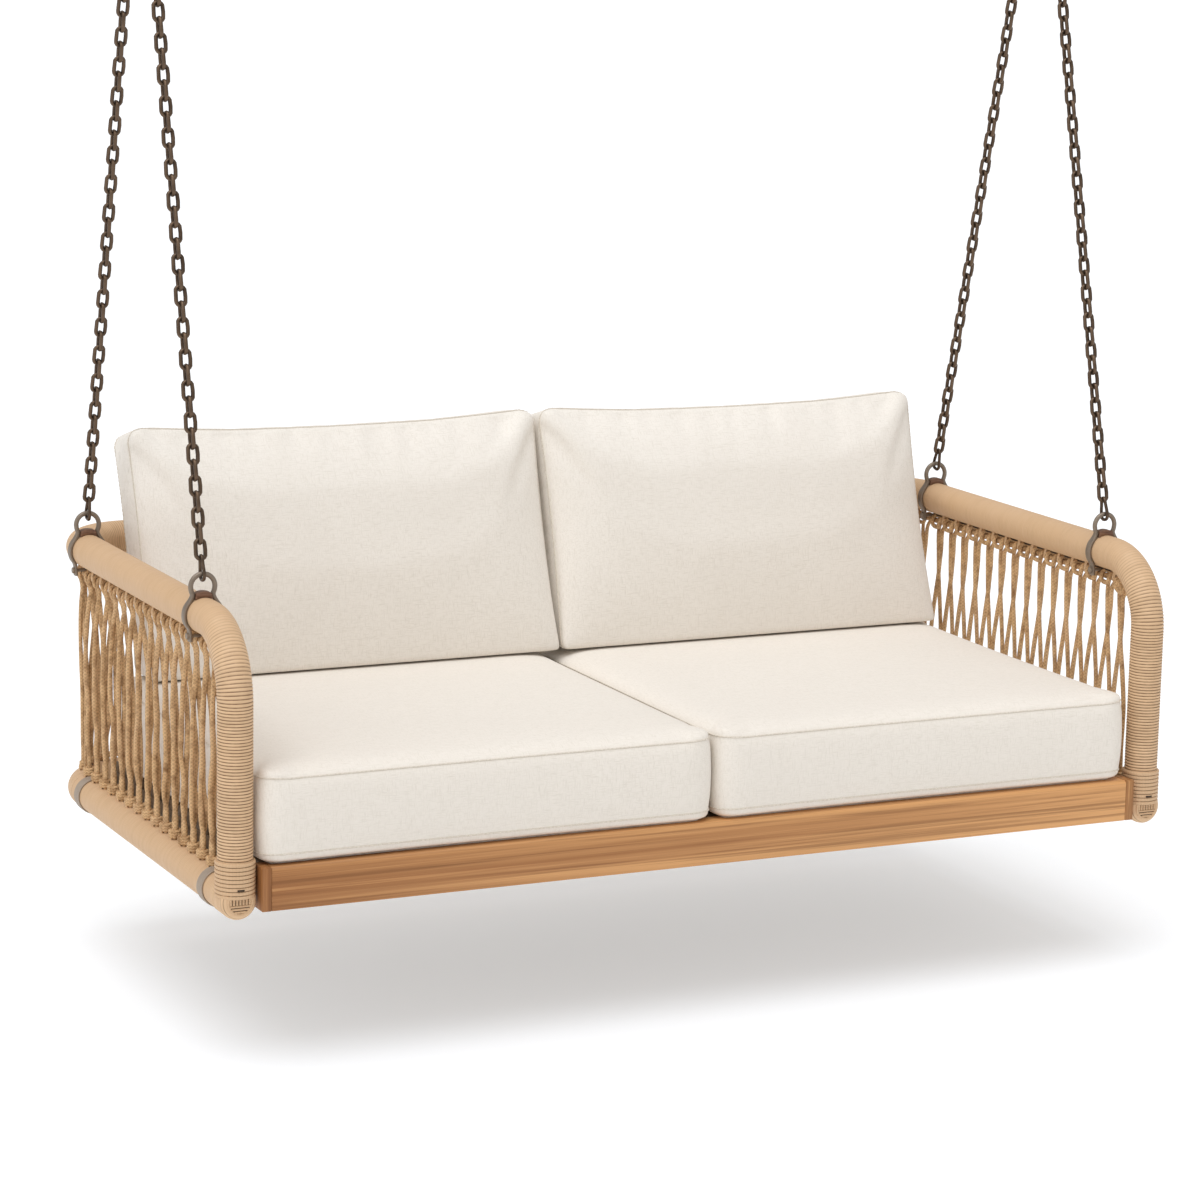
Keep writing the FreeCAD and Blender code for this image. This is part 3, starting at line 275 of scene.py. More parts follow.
class Shell:
    """Points, faces and run-and-turn coordinates of one piece, gathered before it becomes a mesh."""

    def __init__(self):
        self.points = []
        self.faces = []
        self.runs = []
        self.finish = []
        self.bold = []
        self.total = 0

    def add(self, points, faces, runs, finish=0, bold=0.0):
        points = np.asarray(points, float)
        self.points.append(points)
        self.bold.append(np.broadcast_to(np.asarray(bold, float), (len(points),)))
        for face, run in zip(faces, runs):
            self.faces.append(tuple(int(corner) + self.total for corner in face))
            self.runs.extend(run)
            self.finish.append(finish)
        self.total += len(points)

    def sweep(
        self,
        path,
        radius,
        sides=12,
        up=(0, 0, 1),
        closed=False,
        flat=(1, 1),
        square=2.0,
        finish=0,
        bold=0.0,
    ):
        """A bar or cord along a path. Its section is round, or flattened and squared off."""
        path = np.asarray(path, float)
        ahead = np.roll(path, -1, 0) - np.roll(path, 1, 0) if closed else np.gradient(path, axis=0)
        ahead /= np.linalg.norm(ahead, axis=1, keepdims=True)
        first = np.asarray(up, float) - ahead[0] * np.dot(up, ahead[0])
        across = [unit(first)]
        for heading in ahead[1:]:
            across.append(unit(across[-1] - heading * np.dot(across[-1], heading)))
        across = np.array(across)
        beside = np.cross(ahead, across)
        steps = np.linalg.norm(np.diff(path, axis=0), axis=1)
        run = np.concatenate([[0], np.cumsum(steps)])
        turn = 2 * np.pi * np.arange(sides) / sides
        if callable(radius):
            reach = radius(run[:, None], turn[None, :])
        else:
            reach = np.broadcast_to(np.asarray(radius, float).reshape(-1, 1), (len(path), sides))
        square = np.asarray(square, float).reshape(-1, 1)
        cosine, sine = np.cos(turn)[None, :], np.sin(turn)[None, :]
        cosine = np.sign(cosine) * np.abs(cosine) ** (2 / square)
        sine = np.sign(sine) * np.abs(sine) ** (2 / square)
        wide = np.asarray(flat[0], float).reshape(-1, 1)
        deep = np.asarray(flat[1], float).reshape(-1, 1)
        rings = path[:, None, :]
        rings = rings + across[:, None, :] * (reach * cosine * wide)[..., None]
        rings = rings + beside[:, None, :] * (reach * sine * deep)[..., None]
        count = len(path)
        faces, runs = [], []
        last = count if closed else count - 1
        whole = run[-1] + (np.linalg.norm(path[0] - path[-1]) if closed else 0)
        for i in range(last):
            after = (i + 1) % count
            u0, u1 = run[i], run[i + 1] if i + 1 < count else whole
            for j in range(sides):
                k = (j + 1) % sides
                faces.append((i * sides + j, i * sides + k, after * sides + k, after * sides + j))
                v0, v1 = j / sides, (j + 1) / sides
                runs.append(((u0, v0), (u0, v1), (u1, v1), (u1, v0)))
        if not closed:
            faces.append(tuple(reversed(range(sides))))
            runs.append([(run[0], j / sides) for j in reversed(range(sides))])
            faces.append(tuple(range((count - 1) * sides, count * sides)))
            runs.append([(run[-1], j / sides) for j in range(sides)])
        spread = np.repeat(np.broadcast_to(np.asarray(bold, float), (count,)), sides)
        self.add(rings.reshape(-1, 3), faces, runs, finish, spread)

    def block(self, low, high, rounding, finish=0):
        """A squared piece with eased edges."""
        low, high = Vector(low), Vector(high)
        made = bmesh.new()
        bmesh.ops.create_cube(made, size=1)
        for vert in made.verts:
            vert.co = [(a + b) / 2 + c * (b - a) for a, b, c in zip(low, high, vert.co)]
        round_off(made, made.edges[:], rounding)
        self.take(made, finish)

    def take(self, made, finish=0):
        made.verts.index_update()
        points = [tuple(vert.co) for vert in made.verts]
        faces = [[vert.index for vert in face.verts] for face in made.faces]
        runs = [[(vert.co.x, vert.co.z) for vert in face.verts] for face in made.faces]
        self.add(points, faces, runs, finish)
        made.free()

    def mesh(self, name, finishes, crease):
        mesh = bpy.data.meshes.new(name)
        mesh.from_pydata(np.concatenate(self.points).tolist(), [], self.faces)
        layer = mesh.uv_layers.new(name="run_turn")
        layer.data.foreach_set("uv", np.array(self.runs, np.float32).reshape(-1))
        bold = mesh.attributes.new("bold", "FLOAT", "POINT")
        bold.data.foreach_set("value", np.concatenate(self.bold).astype(np.float32))
        for finish in finishes:
            mesh.materials.append(finish)
        mesh.polygons.foreach_set("material_index", self.finish)
        mesh.polygons.foreach_set("use_smooth", [True] * len(mesh.polygons))
        mesh.set_sharp_from_angle(angle=math.radians(crease))
        mesh.update()
        return mesh


def settle(obj, body, nodes):
    """The finished piece rides on its body and stands for its nodes."""
    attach(obj, body)
    if nodes:
        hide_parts(*nodes)
    return obj


def place(name, shell, finishes, body, nodes, crease=38):
    obj = bpy.data.objects.new(name, shell.mesh(name, finishes, crease))
    bpy.context.scene.collection.objects.link(obj)
    return settle(obj, body, nodes)


# Finishes


class Finish:
    """A node material with a Principled shader, built step by step."""

    def __init__(self, name):
        self.material = bpy.data.materials.new(name)
        self.material.use_nodes = True
        self.tree = self.material.node_tree
        self.tree.nodes.clear()
        self.shader = self.add("ShaderNodeBsdfPrincipled")
        output = self.add("ShaderNodeOutputMaterial")
        self.tree.links.new(self.shader.outputs[0], output.inputs["Surface"])

    def add(self, kind, settings=None, **inputs):
        node = self.tree.nodes.new(kind)
        for key, value in (settings or {}).items():
            setattr(node, key, value)
        for key, value in inputs.items():
            self.put(node, key.replace("_", " "), value)
        return node

    def put(self, node, key, value):
        socket = node.inputs[int(key)] if key.isdigit() else node.inputs[key]
        if isinstance(value, bpy.types.NodeSocket):
            self.tree.links.new(value, socket)
        else:
            socket.default_value = value

    def sum(self, operation, first, second=0.0):
        node = self.add("ShaderNodeMath", {"operation": operation})
        self.put(node, "0", first)
        self.put(node, "1", second)
        return node.outputs[0]

    def noise(self, vector, scale, detail=3.0, roughness=0.55, distortion=0.0):
        node = self.add(
            "ShaderNodeTexNoise",
            Vector=vector,
            Scale=scale,
            Detail=detail,
            Roughness=roughness,
            Distortion=distortion,
        )
        return node.outputs["Fac"]

    def stretched(self, vector, scale, turn=(0, 0, 0)):
        return self.add("ShaderNodeMapping", Vector=vector, Scale=scale, Rotation=turn).outputs[0]

    def spread(self, value, low, high, floor=0.0, ceiling=1.0):
        node = self.add("ShaderNodeMapRange", Value=value)
        for key, number in zip(("1", "2", "3", "4"), (low, high, floor, ceiling)):
            self.put(node, key, number)
        return node.outputs[0]

    def mix(self, share, first, second):
        node = self.add("ShaderNodeMix", {"data_type": "RGBA"})
        self.put(node, "0", share)
        for key, value in (("6", first), ("7", second)):
            self.put(node, key, value if isinstance(value, bpy.types.NodeSocket) else (*value, 1.0))
        return node.outputs[2]

    def bump(self, height, distance, strength=1.0, under=None):
        node = self.add("ShaderNodeBump", Height=height, Distance=distance, Strength=strength)
        if under is not None:
            self.put(node, "Normal", under)
        return node.outputs[0]

    def objects(self):
        return self.add("ShaderNodeTexCoord").outputs["Object"]

    def run_turn(self):
        node = self.add("ShaderNodeUVMap", {"uv_map": "run_turn"})
        parts = self.add("ShaderNodeSeparateXYZ", Vector=node.outputs[0])
        return node.outputs[0], parts.outputs[0], parts.outputs[1]

    def done(self, colour, roughness, normal=None, **constants):
        self.put(self.shader, "Base Color", colour)
        self.put(self.shader, "Roughness", roughness)
        if normal is not None:
            self.put(self.shader, "Normal", normal)
        for key, value in constants.items():
            self.put(self.shader, key.replace("_", " "), value)
        return self.material


FINISHES = {}
PLAIN_TIMBER = linear(124, 106, 86), linear(90, 75, 59)
ROPE_LAY = 0.0064
LASHING_LAY = 0.006
WEAVE = 0.0021


def finish(name):
    """A finish by name, made once."""
    if name not in FINISHES:
        FINISHES[name] = RECIPES[name]()
    return FINISHES[name]


def bound_pole_finish():
    """Tan cord wound round a pole: bold turns on the posts, a fine close wrap elsewhere; the grooves
    between turns are painted darker as shade.
    """
    f = Finish("bound pole")
    paints, pitch = colours(), sizes().cord_pitch
    run_turn, run, _ = f.run_turn()
    bold = f.add("ShaderNodeAttribute", {"attribute_name": "bold"}).outputs["Fac"]
    turns = f.sum("MULTIPLY", run, 1 / pitch)
    ridge = f.sum("ABSOLUTE", f.sum("SINE", f.sum("MULTIPLY", turns, math.pi)))
    groove = f.spread(ridge, 0.7, 0.1)
    fine = f.noise(f.stretched(run_turn, (520, 5, 1)), 1.0, 3.0)
    streak = f.noise(f.stretched(run_turn, (90, 2.5, 1)), 1.0, 3.0)
    cloud = f.noise(f.objects(), 9.0, 3.0)
    base = f.mix(f.spread(cloud, 0.3, 0.7, 0.0, 0.28), paints.pole, paints.rope)
    worn = f.sum("MULTIPLY", f.spread(streak, 0.45, 0.8), f.spread(bold, 0.0, 1.0, 0.08, 0.26))
    base = f.mix(worn, base, paints.groove_shade_and_wear)
    base = f.mix(f.spread(bold, 0.0, 0.6, 0.16, 0.0), base, paints.rope_shade)
    base = f.mix(f.spread(fine, 0.5, 0.85, 0.0, 0.25), base, linear(236, 208, 172))
    weight = f.spread(bold, 0.0, 1.0, 0.06, 0.9)
    broken = f.spread(f.noise(f.stretched(run_turn, (60, 14, 1)), 1.0, 2.0), 0.25, 0.6, 0.6, 1.0)
    lines = f.sum("MULTIPLY", f.sum("MULTIPLY", groove, weight), broken)
    # painted shade: the grooves between the turns are darkened into lines, boldest on the posts
    colour = f.mix(lines, base, paints.groove_shade_and_wear)
    height = f.sum("ADD", f.sum("MULTIPLY", fine, 0.5), f.sum("MULTIPLY", streak, 0.3))
    normal = f.bump(height, 0.0006, 0.7)
    normal = f.bump(ridge, 0.0005, 0.5, normal)
    rough = f.spread(streak, 0.2, 0.8, 0.5, 0.68)
    return f.done(colour, rough, normal, Specular_IOR_Level=0.35)


def rope_finish():
    """Braided cord: small diagonal plaits, mottled from handling; the grooves between plaits are painted
    darker as shade, and lighter fibre streaks double as painted highlights.
    """
    f = Finish("braided rope")
    paints = colours()
    run_turn, run, turn = f.run_turn()
    around = f.sum("MULTIPLY", turn, 2 * math.pi * 3)
    lay = f.sum("MULTIPLY", run, 2 * math.pi / ROPE_LAY)
    one = f.sum("SINE", f.sum("ADD", lay, around))
    two = f.sum("SINE", f.sum("SUBTRACT", lay, around))
    plait = f.spread(f.sum("MAXIMUM", one, two), 0.1, 1.0)
    mottle = f.noise(f.objects(), 60.0, 4.0, 0.6)
    cloud = f.noise(f.objects(), 11.0, 2.0)
    fibres_and_highlights = f.noise(f.stretched(run_turn, (160, 30, 1)), 1.0, 3.0)
    base = f.mix(f.spread(mottle, 0.46, 0.74), paints.rope, paints.rope_shade)
    base = f.mix(f.spread(cloud, 0.45, 0.75, 0.0, 0.4), base, paints.pole)
    # painted shade: darker in the grooves between the plaits
    base = f.mix(f.spread(plait, 0.6, 0.0, 0.0, 0.34), base, paints.groove_shade_and_wear)
    # lighter fibre streaks, which also serve as painted highlights on the rope
    base = f.mix(f.spread(fibres_and_highlights, 0.5, 0.85, 0.0, 0.4), base, linear(226, 192, 150))
    height = f.sum("ADD", plait, f.sum("MULTIPLY", fibres_and_highlights, 0.5))
    normal = f.bump(height, 0.0005, 0.4)
    return f.done(base, f.spread(mottle, 0.3, 0.7, 0.6, 0.82), normal, Specular_IOR_Level=0.25)


def lashing_finish():
    """The lighter thin cord of the lashings; the grooves between its strands are painted darker as
    shade.
    """
    f = Finish("lashing cord")
    paints = colours()
    _, run, turn = f.run_turn()
    around = f.sum("MULTIPLY", turn, 2 * math.pi)
    lay = f.sum("ADD", f.sum("MULTIPLY", run, 2 * math.pi / LASHING_LAY), around)
    strand = f.spread(f.sum("SINE", lay), -1.0, 1.0)
    mottle = f.noise(f.objects(), 90.0, 3.0)
    base = f.mix(f.spread(mottle, 0.35, 0.7, 0.0, 0.5), linear(222, 188, 148), paints.rope)
    # painted shade: darker in the grooves between the strands
    base = f.mix(f.spread(strand, 0.35, 0.0, 0.0, 0.18), base, paints.groove_shade_and_wear)
    normal = f.bump(strand, 0.0003, 0.4)
    return f.done(base, f.spread(mottle, 0.3, 0.7, 0.5, 0.7), normal, Specular_IOR_Level=0.3)


def timber(name, grain, shade, light=None, dark=None):
    """Timber whose grain runs along the axis with the small scale. With a shade above nought it is
    painted darker towards the left end and lighter towards the right, as painted shade and light.
    """
    f = Finish(name)
    light = light or colours().timber
    dark = dark or colours().timber_dark
    place_here = f.objects()
    broad = f.noise(f.stretched(place_here, grain), 1.5, 2.0, 0.5, 0.25)
    lines = f.noise(f.stretched(place_here, tuple(g * 4.5 for g in grain)), 1.0, 4.0, 0.65, 0.15)
    pores = f.noise(f.stretched(place_here, tuple(g * 16 for g in grain)), 1.0, 2.0, 0.7)
    base = f.mix(f.spread(broad, 0.27, 0.6, 0.15), dark, light)
    across = f.add("ShaderNodeSeparateXYZ", Vector=place_here).outputs[0]
    deep = tuple(part * 0.95 for part in dark)
    streak = tuple(part * 0.62 for part in dark)
    # painted shade: darker towards the left end, by x
    base = f.mix(f.spread(across, -0.85, -0.1, shade, 0.0), base, deep)
    # painted light: lighter towards the right end, by x
    pale = tuple(min(1, part * 1.12) for part in light)
    base = f.mix(f.spread(across, 0.0, 0.75, 0.0, shade * 0.7), base, pale)
    base = f.mix(f.spread(lines, 0.5, 0.6, 0.0, 0.5), base, streak)
    base = f.mix(f.spread(pores, 0.55, 0.75, 0.0, 0.35), base, tuple(part * 0.5 for part in dark))
    glint = tuple(min(1, part * 1.15) for part in light)
    base = f.mix(f.spread(lines, 0.45, 0.3, 0.0, 0.4), base, glint)
    normal = f.bump(f.sum("ADD", lines, pores), 0.0006, 0.5)
    return f.done(base, f.spread(lines, 0.3, 0.7, 0.42, 0.6), normal, Specular_IOR_Level=0.35)


def cloth(name, lean, light=None):
    """Undyed linen weave: crossing threads, thicker slubs and a soft nap."""
    f = Finish(name)
    paints = colours()
    light = light or paints.cloth
    place_here = f.stretched(f.objects(), (1, 1, 1), (lean, 0, 0))
    parts = f.add("ShaderNodeSeparateXYZ", Vector=place_here).outputs
    facing = f.add("ShaderNodeTexCoord").outputs["Normal"]
    facing = f.add("ShaderNodeSeparateXYZ", Vector=f.stretched(facing, (1, 1, 1), (lean, 0, 0))).outputs
    drift = f.noise(f.stretched(place_here, (30, 30, 30)), 1.0, 2.0)
    waves = None
    for n in range(3):
        threads = f.sum("MULTIPLY", parts[n], 2 * math.pi / WEAVE)
        phase = f.sum("ADD", threads, f.sum("MULTIPLY", drift, 4.0))
        lies = f.spread(f.sum("ABSOLUTE", facing[n]), 0.6, 0.2)
        wave = f.sum("MULTIPLY", f.sum("SINE", phase), lies)
        waves = wave if waves is None else f.sum("ADD", waves, wave)
    cross = f.noise(f.stretched(place_here, (70, 640, 640)), 1.0, 2.0)
    down = f.noise(f.stretched(place_here, (640, 90, 90)), 1.0, 2.0)
    slub = f.sum("MAXIMUM", cross, down)
    cloud = f.noise(place_here, 7.0, 3.0)
    base = f.mix(f.spread(slub, 0.5, 0.8, 0.0, 0.6), light, paints.cloth_thread)
    base = f.mix(f.spread(waves, -2.0, 0.5, 0.2, 0.0), base, linear(200, 190, 176))
    base = f.mix(f.spread(cloud, 0.35, 0.7, 0.0, 0.25), base, linear(229, 221, 210))
    height = f.sum("ADD", f.sum("MULTIPLY", waves, 0.3), slub)
    normal = f.bump(height, 0.0006, 0.45)
    return f.done(
        base,
        f.spread(slub, 0.4, 0.8, 0.82, 0.95),
        normal,
        Specular_IOR_Level=0.2,
        Sheen_Weight=0.15,
        Sheen_Roughness=0.5,
    )


def thread_finish():
    """Sewing thread of the seams, a shade lighter than the crease it lies in."""
    f = Finish("seam thread")
    mottle = f.noise(f.objects(), 400.0, 2.0)
    base = f.mix(f.spread(mottle, 0.3, 0.7), linear(206, 194, 178), linear(232, 224, 212))
    return f.done(base, f.spread(mottle, 0.3, 0.7, 0.7, 0.9), f.bump(mottle, 0.0002, 0.4))


def crease_shade_finish():
    """The cloth that is drawn into a seam, painted darker as the shade of the crease."""
    f = Finish("seam crease")
    mottle = f.noise(f.objects(), 300.0, 2.0)
    base = f.mix(f.spread(mottle, 0.3, 0.7), linear(204, 194, 178), linear(218, 209, 195))
    return f.done(base, f.spread(mottle, 0.3, 0.7, 0.85, 0.95), f.bump(mottle, 0.0003, 0.4))


def metal(name, tint, worn, roughness, metallic):
    f = Finish(name)
    place_here = f.objects()
    patch = f.noise(place_here, 55.0, 4.0, 0.6)
    grain = f.noise(place_here, 420.0, 3.0, 0.6)
    edge = f.add("ShaderNodeNewGeometry").outputs["Pointiness"]
    base = f.mix(f.spread(patch, 0.4, 0.75, 0.0, 0.5), tint, worn)
    base = f.mix(f.spread(edge, 0.52, 0.62, 0.0, 0.6), base, worn)
    normal = f.bump(grain, 0.0003, 0.35)
    rough = f.spread(patch, 0.3, 0.7, roughness - 0.08, roughness + 0.12)
    return f.done(base, rough, normal, Metallic=metallic, Specular_IOR_Level=0.5)


def saddle_finish():
    """Stained block with a short grain."""
    f = Finish("saddle block")
    place_here = f.objects()
    grain = f.noise(f.stretched(place_here, (60, 400, 400)), 1.0, 3.0)
    base = f.mix(f.spread(grain, 0.35, 0.7), colours().saddle, linear(88, 58, 40))
    return f.done(base, f.spread(grain, 0.3, 0.7, 0.45, 0.65), f.bump(grain, 0.0004, 0.5))


def painted_shade_finish():
    """Painted shade: a dark brown that stands in for the shade inside narrow openings."""
    f = Finish("painted opening shade")
    grain = f.noise(f.objects(), 200.0)
    return f.done(f.mix(grain, linear(48, 35, 24), linear(74, 54, 37)), f.spread(grain, 0, 1, 0.8, 0.95))


RECIPES = {
    "bound_pole": bound_pole_finish,
    "rope": rope_finish,
    "lashing": lashing_finish,
    "long_timber": lambda: timber("oiled timber, lengthwise", (0.2, 24.0, 24.0), 0.85),
    "upright_timber": lambda: timber(
        "oiled timber, upright", (24.0, 24.0, 0.9), 0.5, linear(188, 136, 86)
    ),
    "deck_long": lambda: timber("plain timber, lengthwise", (0.55, 24.0, 24.0), 0.0, *PLAIN_TIMBER),
    "deck_deep": lambda: timber("plain timber, front to back", (24.0, 0.55, 24.0), 0.0, *PLAIN_TIMBER),
    "seat_cloth": lambda: cloth("linen, seat", 0.0),
    # painted light: the back cushions' linen is a lighter copy of the seat linen, standing in for more
    # light on them
    "back_cloth_lightened": lambda: cloth("linen, back", BACK_LEAN, linear(243, 236, 226)),
    "thread": thread_finish,
    "crease": crease_shade_finish,
    "strap": lambda: metal("hanger lacquer", colours().strap, linear(160, 146, 130), 0.45, 0.55),
    "chain": lambda: metal("dark bronze", colours().chain, linear(132, 108, 86), 0.4, 0.75),
    "band": lambda: metal("band lacquer", colours().band, linear(182, 166, 148), 0.6, 0.15),
    "saddle": saddle_finish,
    "painted_shade": painted_shade_finish,
}


# Pole frame


def arm_path(side, step, straight):
    """Post, front bend and arm of one side."""
    bend = sizes().front_bend
    x = side * SWING.half
    centre = (x, bend, SWING.rise - bend)
    post = line((x, 0, SWING.foot * 0.84), (x, 0, SWING.rise - bend), step)
    turn = arc(centre, (0, -1, 0), (0, 0, 1), bend, 0, 90, step)
    arm = line((x, bend, SWING.rise), (x, SWING.joint, SWING.rise), straight)
    return joined(post, turn, arm)


def rear_path(height, step):
    """A rear rail with the bend at each end, left to right."""
    bend = SWING.bend
    straight = SWING.half - bend
    left = arc((-straight, SWING.joint, height), (-1, 0, 0), (0, 1, 0), bend, 0, 90, step)
    rail = line((-straight, SWING.depth, height), (straight, SWING.depth, height), 0.02)
    right = arc((straight, SWING.joint, height), (0, 1, 0), (1, 0, 0), bend, 0, 90, step)
    return joined(left, rail, right)


class SWING_OT_poles(bpy.types.Operator):
    """Bind the poles: arms with posts, rear rails, lower rails and uprights"""

    bl_idname = "swing.poles"
    bl_label = "Bound poles"

    def execute(self, context):
        pitch, depth = sizes().cord_pitch, sizes().cord_depth
        bend = sizes().front_bend
        post_run = SWING.rise - bend - SWING.foot * 0.84
        fade_from = post_run + bend * 0.3
        fade_to = post_run + bend * 1.25
        cover = [finish("bound_pole")]
        for side, name in SIDES:
            path = arm_path(side, pitch / 6, 0.012)
            steps = np.linalg.norm(np.diff(path, axis=0), axis=1)
            run = np.concatenate([[0], np.cumsum(steps)])
            bold = np.clip((fade_to - run) / (fade_to - fade_from), 0, 1)
            reach = SWING.pole - depth * bold * (1 - np.abs(np.sin(np.pi * run / pitch)) ** 0.7)
            shell = Shell()
            shell.sweep(seat(path), reach, 44, up=(1, 0, 0), bold=bold)
            place(f"{name}_arm_bound", shell, cover, "seat", [f"{name}_arm_pole"], 60)
            shell = Shell()
            x = side * SWING.half
            rail = line((x, SWING.foot_tail, 0), (x, SWING.joint, 0), 0.02)
            shell.sweep(seat(rail), SWING.pole, 44, bold=0.12)
            nodes = [f"{name}_lower_pole"]
            place(f"{name}_lower_rail_bound", shell, cover, "seat", nodes, 60)
        for name, height, bold in (("back_pole", SWING.rise, 0.5), ("lower_back_pole", 0.0, 0.3)):
            shell = Shell()
            shell.sweep(seat(rear_path(height, 0.006)), SWING.pole, 44, bold=bold)
            place(f"{name}_bound", shell, cover, "seat", [name], 60)
        low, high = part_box("rear_uprights")
        radius = (high.y - low.y) / 2
        shell = Shell()
        for x in (low.x + radius, high.x - radius):
            bottom, top = SWING.pole * 0.8, SWING.rise - SWING.pole * 0.8
            upright = line((x, SWING.depth, bottom), (x, SWING.depth, top), 0.02)
            shell.sweep(seat(upright), radius, 32, up=(1, 0, 0), bold=0.35)
        place("rear_uprights_bound", shell, cover, "seat", ["rear_uprights"], 60)
        return {"FINISHED"}


class SWING_OT_feet(bpy.types.Operator):
    """Wind the feet: bullnose, woven end cap, a block painted as the shade of a slit, and thick collar
    """

    bl_idname = "swing.feet"
    bl_label = "Wound feet"

    def execute(self, context):
        cover = finish("bound_pole")
        caps = Shell()
        pitch = COLLAR_PITCH
        for side, name in SIDES:
            x = side * SWING.half
            nose, tail, radius = SWING.foot_nose, SWING.foot_tail, SWING.foot
            turn = FOOT_NOSE_TURN
            spots = [(tail, radius * 0.97), (tail - 0.002, radius)]
            spots += [(y, radius) for y in np.arange(tail - 0.004, nose + turn, -0.001)]
            for angle in np.radians(np.linspace(0, 90, 14)):
                inset = turn * (1 - math.cos(angle))
                spots.append((nose + turn - turn * math.sin(angle), radius - inset))
            spots = np.array(spots)
            path = np.stack([np.full(len(spots), x), spots[:, 0], np.zeros(len(spots))], axis=1)
            along = spots[:, 0] - nose
            ridges = 0.0007 * (1 - np.abs(np.sin(np.pi * along / FOOT_PITCH)) ** 0.7)
            shell = Shell()
            shell.sweep(seat(path), spots[:, 1] - ridges * (spots[:, 1] > 0.02), 48, bold=0.75)
            # painted shade: a small dark block at the nose stands in for the shaded slit
            front = min(nose, -SWING.pole - 0.0039)
            shell.block(
                seat((x - 0.0075, front - 0.0004, 0.0205)), seat((x + 0.0045, -0.028, 0.0237)), 0.0006, 1
            )
            nodes = [f"{name}_post_foot"]
            place(f"{name}_foot_bound", shell, [cover, finish("painted_shade")], "seat", nodes, 60)
            self.cap(caps, x, nose)
            collar = Shell()
            for n in range(COLLAR_TURNS):
                spot = (x, 0, COLLAR_FOOT + pitch * n)
                turn_path = arc(spot, (1, 0, 0), (0, 1, 0), SWING.pole + 0.0016, 0, 351, 0.0045)
                collar.sweep(
                    seat(turn_path), 1.0, 10, closed=True, flat=(pitch * 0.47, 0.0023), square=2.6
                )
            # painted shade: a dark sleeve under the collar turns shows in the gaps between them
            sleeve = line((x, 0, 0.008), (x, 0, COLLAR_FOOT + pitch * (COLLAR_TURNS - 0.6)), 0.01)
            collar.sweep(seat(sleeve), SWING.pole + 0.0007, 36, up=(1, 0, 0), finish=1)
            nodes = [f"{name}_foot_winding"]
            place(f"{name}_foot_collar", collar, [cover, finish("painted_shade")], "seat", nodes)
        place("rail_end_caps_woven", caps, [cover, finish("painted_shade")], "seat", ["rail_end_caps"])
        return {"FINISHED"}

    def cap(self, shell, x, nose):
        """A coiled ring round a small basket weave of upright over level cords, over a disc painted as
        shade.
        """
        ring = arc((x, nose - 0.0004, 0), (1, 0, 0), (0, 0, 1), 0.0198, 0, 350, 0.0022)
        shell.sweep(seat(ring), 0.0021, 8, up=(0, 1, 0), closed=True)
        for z in (-0.0155, -0.0107, -0.0059):
            reach = math.sqrt(0.0182**2 - z**2)
            level = line((x - reach, nose - 0.0002, z), (x + reach, nose - 0.0002, z), 0.003)
            shell.sweep(seat(level), 0.0019, 8, up=(0, 1, 0))
        for offset in np.linspace(-0.0159, 0.0159, 7):
            high = math.sqrt(0.018**2 - offset**2)
            y = nose - 0.0004
            upright = line((x + offset, y, -0.0034), (x + offset, y, high), 0.003)
            shell.sweep(seat(upright), 0.0022, 8, up=(0, 1, 0))
        # painted shade: a dark disc behind the weave shows between its cords
        disc = line((x, nose + 0.002, 0), (x, nose - 0.0002, 0), 0.0008)
        shell.sweep(seat(disc), 0.0184, 24, finish=1)


# Rope sides


def cord_spot(station):
    """A spot of the left holding cord by its distance behind the post, with its slope."""
    bend, drop = sizes().front_bend, sizes().holding_drop
    level = SWING.rise - drop
    if station >= bend:
        return np.array((-SWING.half, station, level)), np.array((0, 1.0, 0)), np.array((0, 0, 1.0))
    radius = bend - drop
    angle = math.asin(min(1.0, (bend - station) / radius))
    spot = np.array((-SWING.half, station, SWING.rise - bend + radius * math.cos(angle)))
    along = np.array((0, math.cos(angle), math.sin(angle)))
    return spot, along, np.array((0, -math.sin(angle), math.cos(angle)))


def bend_spot(run, height):
    """A spot on the left rear bend by its distance along the bend."""
    angle = run / SWING.bend
    centre = np.array((SWING.bend - SWING.half, SWING.joint, height))
    out = np.array((-math.cos(angle), math.sin(angle), 0))
    return centre + out * SWING.bend, np.array((math.sin(angle), math.cos(angle), 0)), out


